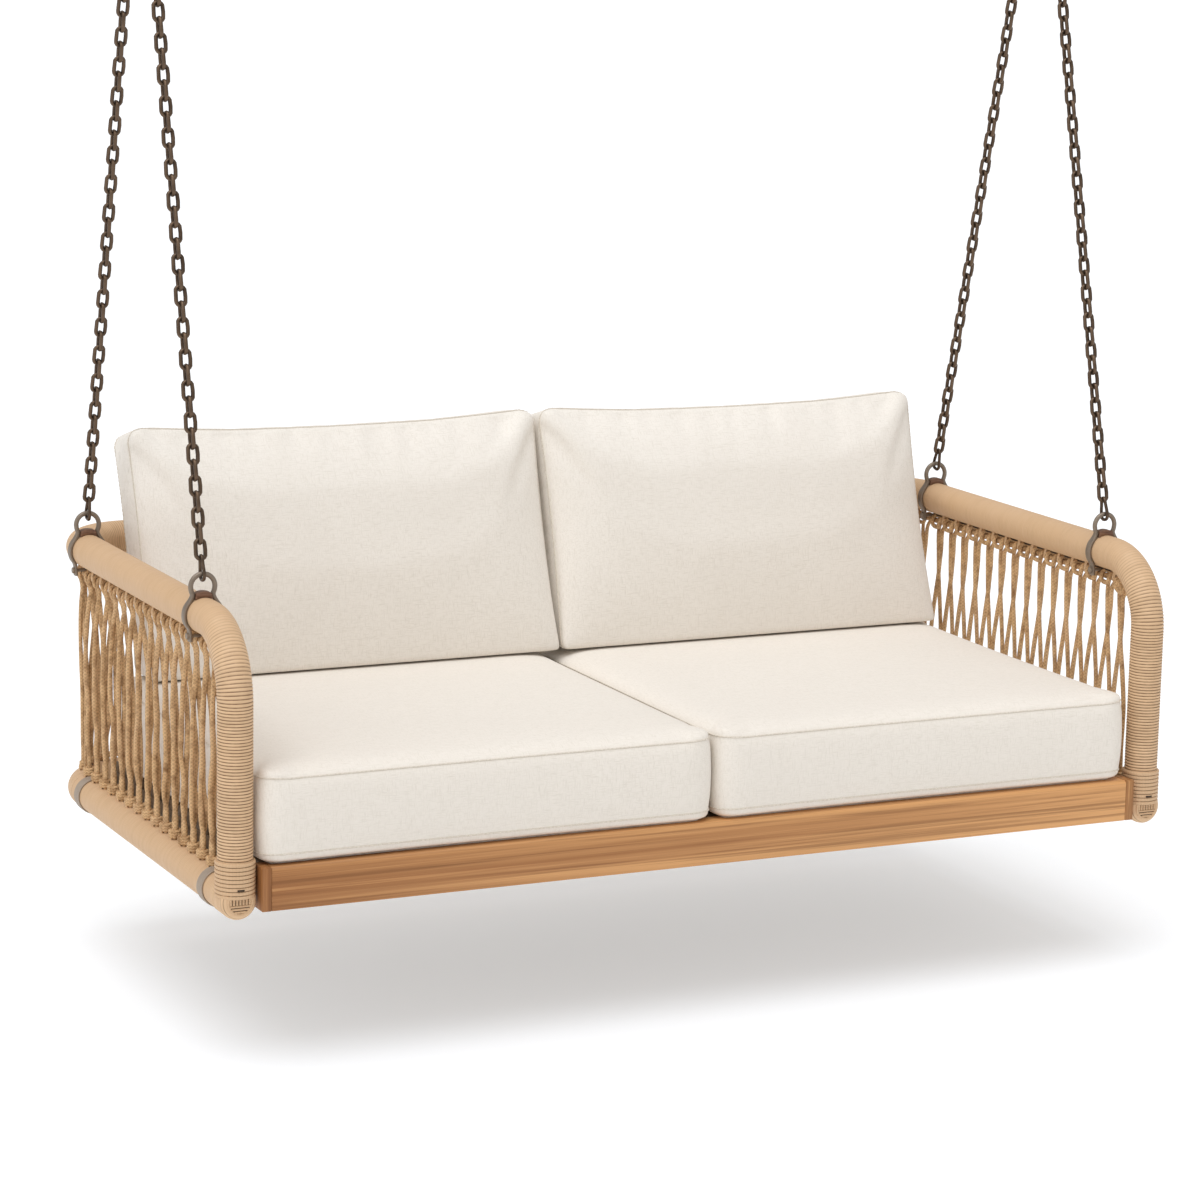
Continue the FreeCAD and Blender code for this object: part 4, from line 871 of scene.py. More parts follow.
class RopeSide:
    """The ropes, holding cord and knots of a side, corner or back, with small uneven hand work."""

    def __init__(self, seed, loose=0.3, slim=0.9, hitch=11.0):
        self.chance = np.random.default_rng(seed)
        self.loose = loose
        self.gauge = sizes().rope_dia / 2 * slim
        self.hitch = hitch
        self.ropes = Shell()
        self.knots = Shell()
        self.cord = Shell()

    def rope(self, spot, along, up, out, pitch):
        """One rope hitched over the cord; its legs cross, meet the neighbours and run down as pairs."""
        gauge = self.gauge
        level = unit((along[0], along[1], 0))
        reach = pitch / 2 - gauge * 1.02
        ground = np.array((spot[0], spot[1], 0))
        low = SWING.pole + 0.006
        uneven_meet = self.chance.uniform(-1, 1) * (0.03 + 0.08 * self.loose)
        meet = spot[2] - (spot[2] - low) * (0.58 + uneven_meet)
        over = sizes().holding_dia / 2 + gauge * (0.94 - 0.22 * self.loose)

        def at(a, o, u):
            return spot + along * (a * MM) + out * (o * MM) + up * (u * MM)

        def leg(way):
            stray = self.chance.uniform(-1, 1, 4) * MM * (0.5 + 8.5 * self.loose)
            layer = out * (way * (0.2 + 4.4 * self.loose) * MM)
            foot = ground + level * (way * reach) + out * (way * 0.8 * MM)
            start = at(-way * (7.4 - 2.4 * self.loose), 3.0, -17)
            points = [foot + (0, 0, low), foot + (0, 0, low + 0.03)]
            for share, drift in ((0.4, stray[0] * 0.5), (0.7, stray[1]), (0.95, stray[2])):
                height = low + (meet - low) * share
                points.append(ground + level * (way * reach + drift) + layer + (0, 0, height))
            turn = points[-1] + (0, 0, 0.02)
            for share in (0.18, 0.5, 0.78):
                bulge = out * (way * 3.0 * MM * math.sin(math.pi * share))
                points.append(turn + (start - turn) * share + bulge + level * stray[3] * 0.4)
            points.append(start)
            rim = over / MM + 0.2
            side = -way * self.hitch
            return points + [
                at(side * 0.82, rim * 0.9, -5),
                at(side * 0.96, rim * 0.75, 6),
                at(side, 0, rim),
                at(side * 0.98, -rim * 0.75, 6),
                at(side * 0.9, -rim, -2),
                at(side * 0.7, -rim * 0.95, -8),
            ]

        bar = [at(a * self.hitch, -over / MM * 0.95, -9.5) for a in (-0.3, 0.3)]
        points = leg(1) + bar + leg(-1)[::-1]
        path = eased(points, 0.0042)
        waver = self.chance.uniform(0, 6.28)
        whole = np.linalg.norm(np.diff(path, axis=0), axis=1).sum()

        def girth(run, turn):
            plait = np.cos(3 * turn + run * 980 + waver) * np.cos(3 * turn - run * 980)
            hitch = np.clip((0.085 - np.abs(run - whole / 2)) / 0.03, 0, 1)
            uneven = (0.03 + 0.05 * self.loose) * np.sin(run * 70 + waver)
            return gauge * (1 + 0.03 * plait + uneven) * (1 - (0.06 + 0.22 * self.loose) * hitch)

        self.ropes.sweep(seat(path), girth, 10, up=out, flat=(0.92, 1.06))
        if self.hitch > 12:
            rim = over / MM + 0.2
            for share in (-0.5, 0, 0.5):
                turns = np.linspace(0, 2 * math.pi, 16, endpoint=False)
                ring = [at(share * self.hitch, rim * math.cos(t), rim * math.sin(t)) for t in turns]
                self.ropes.sweep(seat(ring), gauge * 0.8, 8, closed=True)

    def knot(self, spot, along, out):
        """A wound knot that ties two legs to the lower rail, with lashings into the binding."""
        gauge = self.gauge
        base = np.array((spot[0], spot[1], 0))
        turns = np.linspace(0, 2.6, 34)
        angle = 2 * np.pi * turns + self.chance.uniform(0, 1)
        tall = SWING.pole + 0.0035 + 0.0042 * turns
        swell = 1 + 0.08 * np.sin(np.pi * turns / 2.6)
        coil = base + along * (np.cos(angle) * swell * gauge * 2.5)[:, None]
        coil = coil + out * (np.sin(angle) * swell * gauge * 1.55)[:, None]
        coil[:, 2] = tall
        self.knots.sweep(seat(coil), 0.0032, 8)
        for way in (-1, 1):
            flare = [
                base + along * (way * gauge * 0.9) + (0, 0, SWING.pole + 0.016),
                base + along * (way * gauge * 1.2) + (0, 0, SWING.pole + 0.008),
                base + along * (way * gauge * 1.5) + out * 0.002 + (0, 0, SWING.pole + 0.002),
                base + along * (way * gauge * 1.7) + out * 0.002 + (0, 0, SWING.pole - 0.009),
            ]
            path = eased(flare, 0.003)
            self.knots.sweep(seat(path), gauge * np.linspace(0.95, 0.6, len(path)), 8)
            self.stitch(self.knots, base + along * (way * 0.0022), out, way)

    def stitch(self, shell, base, out, way):
        """A thin lashing over the knot that dives into the binding on both sides."""
        pole, points = SWING.pole, []
        for degrees, radius in ((68, pole - 0.004), (75, pole + 0.0002)):
            angle = math.radians(degrees)
            points.append(base + out * (radius * math.cos(angle)) + (0, 0, radius * math.sin(angle)))
        points.append(base + out * 0.0085 + (0, 0, SWING.pole + 0.007))
        points.append(base + out * 0.002 * way + (0, 0, SWING.pole + 0.0155))
        points.append(base - out * 0.0085 + (0, 0, SWING.pole + 0.007))
        for degrees, radius in ((105, pole + 0.0002), (112, pole - 0.004)):
            angle = math.radians(degrees)
            points.append(base + out * (radius * math.cos(angle)) + (0, 0, radius * math.sin(angle)))
        shell.sweep(seat(eased(points, 0.004)), sizes().lashing_dia / 2, 6, finish=1)

    def lash(self, spot, along, up, out):
        """Two thin loops that sew the holding cord to the pole above it."""
        gap = sizes().holding_drop - SWING.pole
        rim = sizes().holding_dia / 2 + sizes().lashing_dia / 2
        for way in (-1, 1):
            lean = self.chance.uniform(-0.001, 0.001)
            points = []
            for o, u, a in (
                (0.004, gap + 0.003, 0.5),
                (rim * 0.95, gap * 0.45, 0.8),
                (rim, 0.0, 1.0),
                (0.0, -rim, 1.0),
                (-rim, 0.0, 1.0),
                (-rim * 0.95, gap * 0.45, 0.8),
                (-0.004, gap + 0.003, 0.5),
            ):
                points.append(spot + along * (way * 0.0022 * a + lean) + out * o + up * u)
            self.cord.sweep(seat(eased(points, 0.0035)), sizes().lashing_dia / 2, 6, finish=1)

    def seam(self, spots, up):
        """A strip painted as shade, standing in for the dark slit between two lashings, under the pole.
        """
        gap = sizes().holding_drop - SWING.pole
        path = np.array(spots) + np.asarray(up) * (gap - 0.0022)
        self.cord.sweep(seat(path), 1.0, 8, up=up, flat=(0.0024, 0.0022), square=4.0, finish=2)

    def mirrored(self):
        """The same work for the other side."""
        for shell in (self.ropes, self.knots, self.cord):
            for points in shell.points:
                points[:, 0] *= -1
            shell.faces = [tuple(reversed(face)) for face in shell.faces]
            flipped, spot = [], 0
            for face in shell.faces:
                flipped.extend(reversed(shell.runs[spot : spot + len(face)]))
                spot += len(face)
            shell.runs = flipped
        return self


def side_ropes(side, seed):
    """The ropes under one arm."""
    work = RopeSide(seed, *((1.0, 1.1, 11.0) if side < 0 else (0.1, 1.0, 14.0)))
    steps = sizes().side_steps
    pitch = (SWING.rear_hang - SWING.front_hang) / steps
    out = np.array((-1.0, 0, 0))
    stations = [SWING.front_hang + (n + 0.5) * pitch for n in range(-2, steps)]
    for station in stations:
        spot, along, up = cord_spot(station)
        work.rope(spot, along, up, out, pitch)
        if station > sizes().front_bend:
            # painted shade strip under the arm, between the lashings
            work.seam([spot + along * (pitch * part) for part in (-0.36, -0.1, 0.1, 0.36)], up)
    for n in range(-1, steps + 1):
        spot, along, up = cord_spot(SWING.front_hang + n * pitch)
        if n not in (0, steps):
            work.lash(spot, along, up, out)
    for n in range(-2, steps + 1):
        station = SWING.front_hang + n * pitch
        work.knot(np.array((-SWING.half, station, 0)), np.array((0, 1.0, 0)), out)
    first = stations[0] - 0.017
    run = [cord_spot(y)[0] for y in np.linspace(first, sizes().front_bend, 14)]
    run = np.concatenate([run, line(run[-1], (-SWING.half, SWING.joint, run[-1][2]), 0.02)[1:]])
    work.cord.sweep(seat(run), sizes().holding_dia / 2, 10, up=(1, 0, 0))
    return work if side < 0 else work.mirrored()


def corner_ropes(side, seed):
    """The ropes round one rear corner."""
    work = RopeSide(seed)
    steps = sizes().bend_steps
    pitch = SWING.bend * math.pi / 2 / steps
    level = SWING.rise - sizes().holding_drop
    for n in range(steps):
        spot, along, out = bend_spot((n + 0.5) * pitch, level)
        work.rope(spot, along, np.array((0, 0, 1.0)), out, pitch)
        spot, along, out = bend_spot((n + 1) * pitch, level)
        work.lash(spot, along, np.array((0, 0, 1.0)), out)
        work.knot(*bend_spot((n + 1) * pitch, 0.0))
    return work if side < 0 else work.mirrored()


def back_ropes(seed):
    """The ropes along the back, left out where an upright stands."""
    work = RopeSide(seed)
    steps = sizes().back_steps
    straight = 2 * (SWING.half - SWING.bend)
    pitch = straight / steps
    level = SWING.rise - sizes().holding_drop
    low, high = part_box("rear_uprights")
    radius = (high.y - low.y) / 2
    offset = high.x - radius
    clear = radius + 0.004
    along, out, up = np.eye(3)
    for n in range(steps):
        x = -straight / 2 + (n + 0.5) * pitch
        if abs(abs(x) - offset) >= clear + pitch / 2:
            spot = np.array((x, SWING.depth, level))
            work.rope(spot, along, up, out, pitch)
            # painted shade strip under the back pole, between the lashings
            work.seam([spot + along * (pitch * part) for part in (-0.36, -0.1, 0.1, 0.36)], up)
    for n in range(1, steps):
        x = -straight / 2 + n * pitch
        if abs(abs(x) - offset) >= clear + 0.009:
            work.knot(np.array((x, SWING.depth, 0)), along, out)
            work.lash(np.array((x, SWING.depth, level)), along, up, out)
    work.cord.sweep(seat(rear_path(level, 0.008)), sizes().holding_dia / 2, 10)
    return work


class SWING_OT_ropes(bpy.types.Operator):
    """Hitch the ropes of the sides, corners and back, and tie them to the lower rails"""

    bl_idname = "swing.ropes"
    bl_label = "Rope sides"

    def execute(self, context):
        rope, lashing = finish("rope"), finish("lashing")
        works = {
            "left_rope_side": side_ropes(-1, 11),
            "right_rope_side": side_ropes(1, 23),
            "left_corner_ropes": corner_ropes(-1, 37),
            "right_corner_ropes": corner_ropes(1, 41),
            "back_rope_panel": back_ropes(53),
        }
        knots = Shell()
        back_cord = works["back_rope_panel"].cord
        for name, work in works.items():
            place(f"{name}_hitched", work.ropes, [rope], "seat", [name], 70)
            self.merge(knots, work.knots)
            if "corner" in name:
                self.merge(back_cord, work.cord)
        place("rail_knots_wound", knots, [rope, lashing], "seat", ["rail_knots"], 70)
        cover = [rope, lashing, finish("painted_shade")]
        for name in ("left_rope_side", "right_rope_side", "back_rope_panel"):
            part = name.split("_")[0]
            nodes = [f"{part}_holding_cord"]
            place(f"{part}_cord_lashed", works[name].cord, cover, "seat", nodes, 70)
        return {"FINISHED"}

    def merge(self, into, other):
        for points, bold in zip(other.points, other.bold):
            into.points.append(points)
            into.bold.append(bold)
        into.faces += [tuple(corner + into.total for corner in face) for face in other.faces]
        into.runs += other.runs
        into.finish += other.finish
        into.total += other.total


# Chains, rings and ceiling eyes


def tree_with(name, inputs):
    """A new geometry tree with named inputs and a geometry output."""
    tree = bpy.data.node_groups.new(name, "GeometryNodeTree")
    tree.interface.new_socket("Geometry", in_out="INPUT", socket_type="NodeSocketGeometry")
    for label, kind in inputs:
        tree.interface.new_socket(label, in_out="INPUT", socket_type=f"NodeSocket{kind}")
    tree.interface.new_socket("Geometry", in_out="OUTPUT", socket_type="NodeSocketGeometry")
    return tree, tree.nodes.new("NodeGroupInput"), tree.nodes.new("NodeGroupOutput")


def node(tree, kind, settings=None, **inputs):
    """A node with its settings and inputs; an input may be a value or another node's output."""
    made = tree.nodes.new(kind)
    for key, value in (settings or {}).items():
        setattr(made, key, value)
    for key, value in inputs.items():
        key = key.replace("_", " ")
        socket = made.inputs[int(key[1:])] if key[0] == "n" and key[1:].isdigit() else made.inputs[key]
        if isinstance(value, bpy.types.NodeSocket):
            tree.links.new(value, socket)
        else:
            socket.default_value = value
    return made


def math_node(tree, operation, first, second=0.0):
    return node(tree, "ShaderNodeMath", {"operation": operation}, n0=first, n1=second).outputs[0]


def painted(tree, made, give, result):
    """End a geometry tree: what was made gets its finish and goes out."""
    done = node(
        tree, "GeometryNodeSetMaterial", Geometry=made.outputs[0], Material=give["Finish"]
    )
    tree.links.new(done.outputs[0], result.inputs[0])
    return tree


def instances(tree, spots, piece, rotation):
    """One instance of a piece on each point, turned by an output."""
    made = node(tree, "GeometryNodeInstanceOnPoints", Points=spots, Instance=piece.outputs[0])
    tree.links.new(rotation, made.inputs["Rotation"])
    return made


def chain_tree():
    """Links along a leaning line, each turned a quarter from the one below."""
    tree, given, result = tree_with(
        "Chain",
        (
            ("Links", "Int"),
            ("Pitch", "Float"),
            ("Reach", "Float"),
            ("Width", "Float"),
            ("Wire", "Float"),
            ("Start", "Vector"),
            ("Lean", "Vector"),
            ("Finish", "Material"),
        ),
    )
    give = given.outputs
    step = node(tree, "ShaderNodeCombineXYZ", Z=give["Pitch"])
    spots = node(
        tree, "GeometryNodeMeshLine", {"mode": "OFFSET"}, Count=give["Links"], Offset=step.outputs[0]
    )
    crown = math_node(tree, "SUBTRACT", math_node(tree, "MULTIPLY", give["Width"], 0.5), give["Wire"])
    crown = math_node(tree, "ADD", crown, math_node(tree, "MULTIPLY", give["Wire"], 0.5))
    round_wire = node(tree, "GeometryNodeCurvePrimitiveCircle", Resolution=16, Radius=crown)
    stood = node(
        tree, "GeometryNodeTransform", Geometry=round_wire.outputs[0], Rotation=(math.pi / 2, 0, 0)
    )
    spot = node(tree, "ShaderNodeSeparateXYZ", Vector=node(tree, "GeometryNodeInputPosition").outputs[0])
    half = math_node(tree, "SUBTRACT", math_node(tree, "MULTIPLY", give["Reach"], 0.5), crown)
    lift = math_node(tree, "MULTIPLY", math_node(tree, "SIGN", spot.outputs[2]), half)
    middle = math_node(tree, "MULTIPLY", give["Reach"], 0.5)
    offset = node(tree, "ShaderNodeCombineXYZ", Z=math_node(tree, "ADD", lift, middle))
    oval = node(tree, "GeometryNodeSetPosition", Geometry=stood.outputs[0], Offset=offset.outputs[0])
    section = node(
        tree,
        "GeometryNodeCurvePrimitiveCircle",
        Resolution=7,
        Radius=math_node(tree, "MULTIPLY", give["Wire"], 0.5),
    )
    link = node(tree, "GeometryNodeCurveToMesh", Curve=oval.outputs[0])
    tree.links.new(section.outputs[0], link.inputs["Profile Curve"])
    odd = math_node(tree, "MODULO", node(tree, "GeometryNodeInputIndex").outputs[0], 2.0)
    turn = node(tree, "ShaderNodeCombineXYZ", Z=math_node(tree, "MULTIPLY", odd, math.pi / 2))
    links = instances(tree, spots.outputs[0], link, turn.outputs[0])
    hung = node(
        tree,
        "GeometryNodeTransform",
        Geometry=links.outputs[0],
        Translation=give["Start"],
        Rotation=give["Lean"],
    )
    solid = node(tree, "GeometryNodeRealizeInstances", Geometry=hung.outputs[0])
    smooth = node(tree, "GeometryNodeSetShadeSmooth", Geometry=solid.outputs[0])
    return painted(tree, smooth, give, result)


def grown(name, base, tree, values):
    """Run a geometry tree on a mesh and keep the result as a plain mesh."""
    source = bpy.data.objects.new(f"{name}_path", base)
    bpy.context.scene.collection.objects.link(source)
    modifier = source.modifiers.new("grow", "NODES")
    modifier.node_group = tree
    for item in tree.interface.items_tree:
        if item.in_out == "INPUT" and item.name in values:
            modifier[item.identifier] = values[item.name]
    evaluated = source.evaluated_get(bpy.context.evaluated_depsgraph_get())
    mesh = bpy.data.meshes.new_from_object(evaluated)
    source.modifiers.remove(modifier)
    bpy.data.objects.remove(source)
    if not mesh.polygons:
        raise RuntimeError(f"{name} came out empty")
    mesh.name = name
    obj = bpy.data.objects.new(name, mesh)
    bpy.context.scene.collection.objects.link(obj)
    return obj


def hang_ends(place_name):
    """Where a left chain starts on its hanger and how far it leans."""
    y = SWING.front_hang if place_name == "front" else SWING.rear_hang
    middle = (SWING.front_hang + SWING.rear_hang) / 2
    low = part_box("left_end_links")[0].z - SWING.rail_z + 0.0033
    ring = sum(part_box("left_top_ring"), Vector()) / 2
    ring_z = ring.z - SWING.rail_z
    lean = math.atan2(y - middle, ring_z - low)
    return y, low, lean


class SWING_OT_chains(bpy.types.Operator):
    """Hang the four chains with their pear-shaped end links and the top rings"""

    bl_idname = "swing.chains"
    bl_label = "Chains"

    def execute(self, context):
        tree = chain_tree()
        bronze = finish("chain")
        s = sizes()
        for side, name in SIDES:
            ends = Shell()
            for place_name in ("front", "rear"):
                y, low, lean = hang_ends(place_name)
                turn = Matrix.Rotation(lean, 3, "X")
                foot = Vector((side * SWING.half, y, low))
                first = foot + turn @ Vector((0, 0, 0.0337))
                start = seat([tuple(first)])[0]
                values = {
                    "Links": s.links,
                    "Pitch": s.link_pitch,
                    "Reach": s.link_reach,
                    "Width": s.link_width,
                    "Wire": s.link_wire,
                    "Start": tuple(start),
                    "Lean": (lean, 0.0, 0.0),
                    "Finish": bronze,
                }
                label = f"{name}_{place_name}_chain"
                seed = bpy.data.meshes.new(f"{label}_seed")
                obj = grown(f"{label}_links", seed, tree, values)
                settle(obj, f"{name}_chains", [label])
                pear = []
                for y_here, z_here in (
                    (0.0, 0.0),
                    (0.0062, 0.0012),
                    (0.0098, 0.0062),
                    (0.0092, 0.0145),
                    (0.0068, 0.026),
                    (0.0052, 0.0345),
                    (0.0028, 0.0382),
                    (0.0, 0.0391),
                ):
                    pear.append((0, y_here, z_here))
                pear += [(0, -p[1], p[2]) for p in pear[-2:0:-1]]
                spots = [tuple(foot + turn @ Vector(p)) for p in pear]
                ends.sweep(seat(eased(spots, 0.003, True)), PEAR_WIRE, 10, up=(1, 0, 0), closed=True)
            nodes = [f"{name}_end_links"]
            place(f"{name}_pear_links", ends, [bronze], f"{name}_chains", nodes)
            self.top(side, name, bronze)
        return {"FINISHED"}

    def top(self, side, name, bronze):
        """The closed ring, swing link and ceiling eye of one side."""
        x = side * SWING.half
        low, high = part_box(f"{name}_top_ring")
        centre = (low + high) / 2
        ring = Shell()
        bar = 0.00325
        path = arc(centre, (0, 1, 0), (0, 0, 1), (high.z - low.z) / 2 - bar, 0, 354, 0.0024)
        ring.sweep(path, bar, 12, up=(1, 0, 0), closed=True)
        nodes = [f"{name}_top_ring"]
        place(f"{name}_gathering_ring", ring, [bronze], f"{name}_chains", nodes)
        low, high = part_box(f"{name}_swing_link")
        middle = (low.y + high.y) / 2
        bar = 0.004
        turn = (high.x - low.x) / 2 - bar
        top, bottom = (x, middle, high.z - bar - turn), (x, middle, low.z + bar + turn)
        path = joined(
            arc(top, (1, 0, 0), (0, 0, 1), turn, 0, 180, 0.003),
            arc(bottom, (-1, 0, 0), (0, 0, -1), turn, 0, 180, 0.003),
        )
        link = Shell()
        link.sweep(path, bar, 12, up=(0, 1, 0), closed=True)
        place(f"{name}_oval_link", link, [bronze], f"{name}_link", [f"{name}_swing_link"])
        low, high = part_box(f"{name}_ceiling_eye")
        middle = (low.y + high.y) / 2
        plate = 0.006
        eye = Shell()
        made = bmesh.new()
        bmesh.ops.create_cube(made, size=1)
        for vert in made.verts:
            vert.co = (
                x + vert.co.x * (high.x - low.x),
                middle + vert.co.y * (high.y - low.y),
                high.z - plate / 2 + vert.co.z * plate,
            )
        upright = [e for e in made.edges if abs(e.verts[0].co.z - e.verts[1].co.z) > plate / 2]
        round_off(made, upright, 0.008, 6)
        lower = [e for e in made.edges if max(v.co.z for v in e.verts) < high.z - plate / 2]
        round_off(made, lower, 0.0015)
        eye.take(made)
        bar, turn = 0.005, 0.017
        bottom = (x, middle, low.z + bar + turn)
        path = joined(
            line((x, middle - turn, high.z - plate / 2), (x, middle - turn, bottom[2]), 0.006),
            arc(bottom, (0, -1, 0), (0, 0, -1), turn, 0, 180, 0.003),
            line((x, middle + turn, bottom[2]), (x, middle + turn, high.z - plate / 2), 0.006),
        )
        eye.sweep(path, bar, 14, up=(1, 0, 0))
        for way in (-1, 1):
            y, under = middle + way * turn, high.z - plate
            foot = line((x, y, under), (x, y, under - 0.003), 0.001)
            eye.sweep(foot, np.linspace(0.0075, 0.0055, len(foot)), 14, up=(1, 0, 0))
        nodes = [f"{name}_ceiling_eye"]
        place(f"{name}_ceiling_plate", eye, [bronze], "ceiling", nodes, 30)


# Hangers on the arms


class SWING_OT_hangers(bpy.types.Operator):
    """Forge the hangers: ring flowing into strap legs, saddle, bolt and nut"""

    bl_idname = "swing.hangers"
    bl_label = "Hangers"

    def execute(self, context):
        strap, block = finish("strap"), finish("saddle")
        saddles, bolts, nuts = Shell(), Shell(), Shell()
        for side, name in SIDES:
            for place_name, y in (("front", SWING.front_hang), ("rear", SWING.rear_hang)):
                node_name = f"{name}_{place_name}_hanger"
                centre = np.array((side * SWING.half, y, SWING.rise))
                low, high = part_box(node_name)
                top = high.z - SWING.rail_z - SWING.rise
                foot = low.z - SWING.rail_z - SWING.rise
                shell = Shell()
                self.omega(shell, centre, top, foot, (high.x - low.x) / 2)
                place(f"{node_name}_forged", shell, [strap], "seat", [node_name], 50)
                self.saddle(saddles, centre)
                self.bolt(bolts, nuts, centre, foot, 0.0244)
        place("hanger_saddles_shaped", saddles, [block], "seat", ["hanger_saddles"], 40)
        place("hanger_bolts_turned", bolts, [strap], "seat", ["hanger_bolts"], 30)
        place("hanger_nuts_turned", nuts, [strap], "seat", ["hanger_nuts"], 30)
        return {"FINISHED"}

    def omega(self, shell, centre, top, foot, reach):
        """Strap up one side, round ring over the top, strap down the other."""
        radius = 0.0205
        ring_z = top - 0.004 - radius
        hug = reach - 0.0024
        points = [(0.0216, foot), (0.0218, foot + 0.008), (0.0225, foot + 0.015)]
        for degrees in (-42, -22, 0, 24, 47):
            angle = math.radians(degrees)
            points.append((hug * math.cos(angle), hug * math.sin(angle)))
        points += [(0.0186, 0.0288), (0.0174, ring_z - 0.0125)]
        for degrees in (-18, 8, 35, 62, 90):
            angle = math.radians(degrees)
            points.append((radius * math.cos(angle), ring_z + radius * math.sin(angle)))
        points = points + [(-x, z) for x, z in points[-2::-1]]
        path = eased([(x, 0, z) for x, z in points], 0.003)
        round_share = np.clip((path[:, 2] - 0.018) / 0.018, 0, 1)
        wide = 0.0068 + (0.0042 - 0.0068) * round_share
        deep = 0.0026 + (0.0041 - 0.0026) * round_share
        square = 5.0 + (2.0 - 5.0) * round_share
        shell.sweep(seat(path + centre), 1.0, 20, up=(0, 1, 0), flat=(wide, deep), square=square)

    def saddle(self, shell, centre):
        """A block whose foot follows the arm and whose top is a shallow arch."""
        made = bmesh.new()
        half, deep = 0.0150, 0.0085
        outline = []
        for share in np.linspace(-1, 1, 11):
            x = share * half
            outline.append((x, math.sqrt((SWING.pole + 0.0003) ** 2 - x * x)))
        for share in np.linspace(1, -1, 9):
            x = share * half * 0.86
            outline.append((x, SWING.pole + 0.0098 - 0.0028 * share * share))
        rings = []
        for y in (-deep, deep):
            rings.append([made.verts.new((x, y, z)) for x, z in outline])
        made.faces.new(rings[0])
        made.faces.new(list(reversed(rings[1])))
        for n in range(len(outline)):
            m = (n + 1) % len(outline)
            made.faces.new((rings[0][m], rings[0][n], rings[1][n], rings[1][m]))
        bmesh.ops.recalc_face_normals(made, faces=made.faces[:])
        sharp = [e for e in made.edges if len(e.link_faces) == 2 and e.calc_face_angle(0) > 0.7]
        round_off(made, sharp, 0.0012)
        for vert in made.verts:
            vert.co += Vector(centre + SEAT_ORIGIN)
        shell.take(made)

    def bolt(self, bolts, nuts, centre, foot, reach):
        """A hexagon-headed bolt through both strap tails, and its nut."""
        z = foot + 0.009
        spots = [(-reach - 0.004, 0.0047), (-reach - 0.0035, 0.0056), (-reach, 0.0058)]
        path = np.array([(x, 0, z) for x, _ in spots]) + centre
        bolts.sweep(seat(path), [r for _, r in spots], 6, up=(0, 1, 0))
        shank = line((-reach, 0, z), (reach + 0.0053, 0, z), 0.01) + centre
        bolts.sweep(seat(shank), 0.003, 12, up=(0, 1, 0))
        spots = [(reach, 0.0056), (reach + 0.0005, 0.0058)]
        spots += [(reach + 0.0044, 0.0058), (reach + 0.005, 0.0047)]
        path = np.array([(x, 0, z) for x, _ in spots]) + centre
        nuts.sweep(seat(path), [r for _, r in spots], 6, up=(0, 1, 0))


# Timber deck and bands


def eased_copy(node_name, width):
    """A squared node with its edges softly broken."""
    made = bmesh.new()
    made.from_mesh(frame["nodes"][node_name].data)
    bmesh.ops.remove_doubles(made, verts=made.verts[:], dist=1e-5)
    bmesh.ops.dissolve_limit(made, angle_limit=0.02, verts=made.verts[:], edges=made.edges[:])
    sharp = [e for e in made.edges if len(e.link_faces) == 2 and e.calc_face_angle(0) > 0.3]
    round_off(made, sharp, width)
    return made


class SWING_OT_deck(bpy.types.Operator):
    """Ease the edges of the show rail, end blocks, bearers and slats"""

    bl_idname = "swing.deck"
    bl_label = "Timber deck"

    def execute(self, context):
        pieces = (
            ("front_rail", "long_timber", "show_timber", 0.0016),
            ("left_end_block", "upright_timber", "show_timber", 0.0014),
            ("right_end_block", "upright_timber", "show_timber", 0.0014),
            ("left_side_rail", "deck_deep", "deck_timber", 0.002),
            ("right_side_rail", "deck_deep", "deck_timber", 0.002),
            ("centre_bearer", "deck_deep", "deck_timber", 0.002),
            ("rear_rail", "deck_long", "deck_timber", 0.002),
            ("seat_slats", "deck_long", "deck_timber", 0.002),
        )
        for node_name, cover, slot, width in pieces:
            shell = Shell()
            shell.take(eased_copy(node_name, width))
            place(f"{node_name}_eased", shell, [finish(cover)], "seat", [node_name], 30)
        return {"FINISHED"}


def screw_tree():
    """Domed screw heads, one on each point, all facing the same way."""
    tree, given, result = tree_with(
        "Screws", (("Head", "Float"), ("Rise", "Float"), ("Facing", "Vector"), ("Finish", "Material"))
    )
    give = given.outputs
    head = node(
        tree,
        "GeometryNodeMeshCone",
        {"fill_type": "NGON"},
        Vertices=14,
        Side_Segments=2,
        Radius_Top=math_node(tree, "MULTIPLY", give["Head"], 0.6),
        Radius_Bottom=give["Head"],
        Depth=give["Rise"],
    )
    placed = instances(tree, give["Geometry"], head, give["Facing"])
    solid = node(tree, "GeometryNodeRealizeInstances", Geometry=placed.outputs[0])
    return painted(tree, solid, give, result)


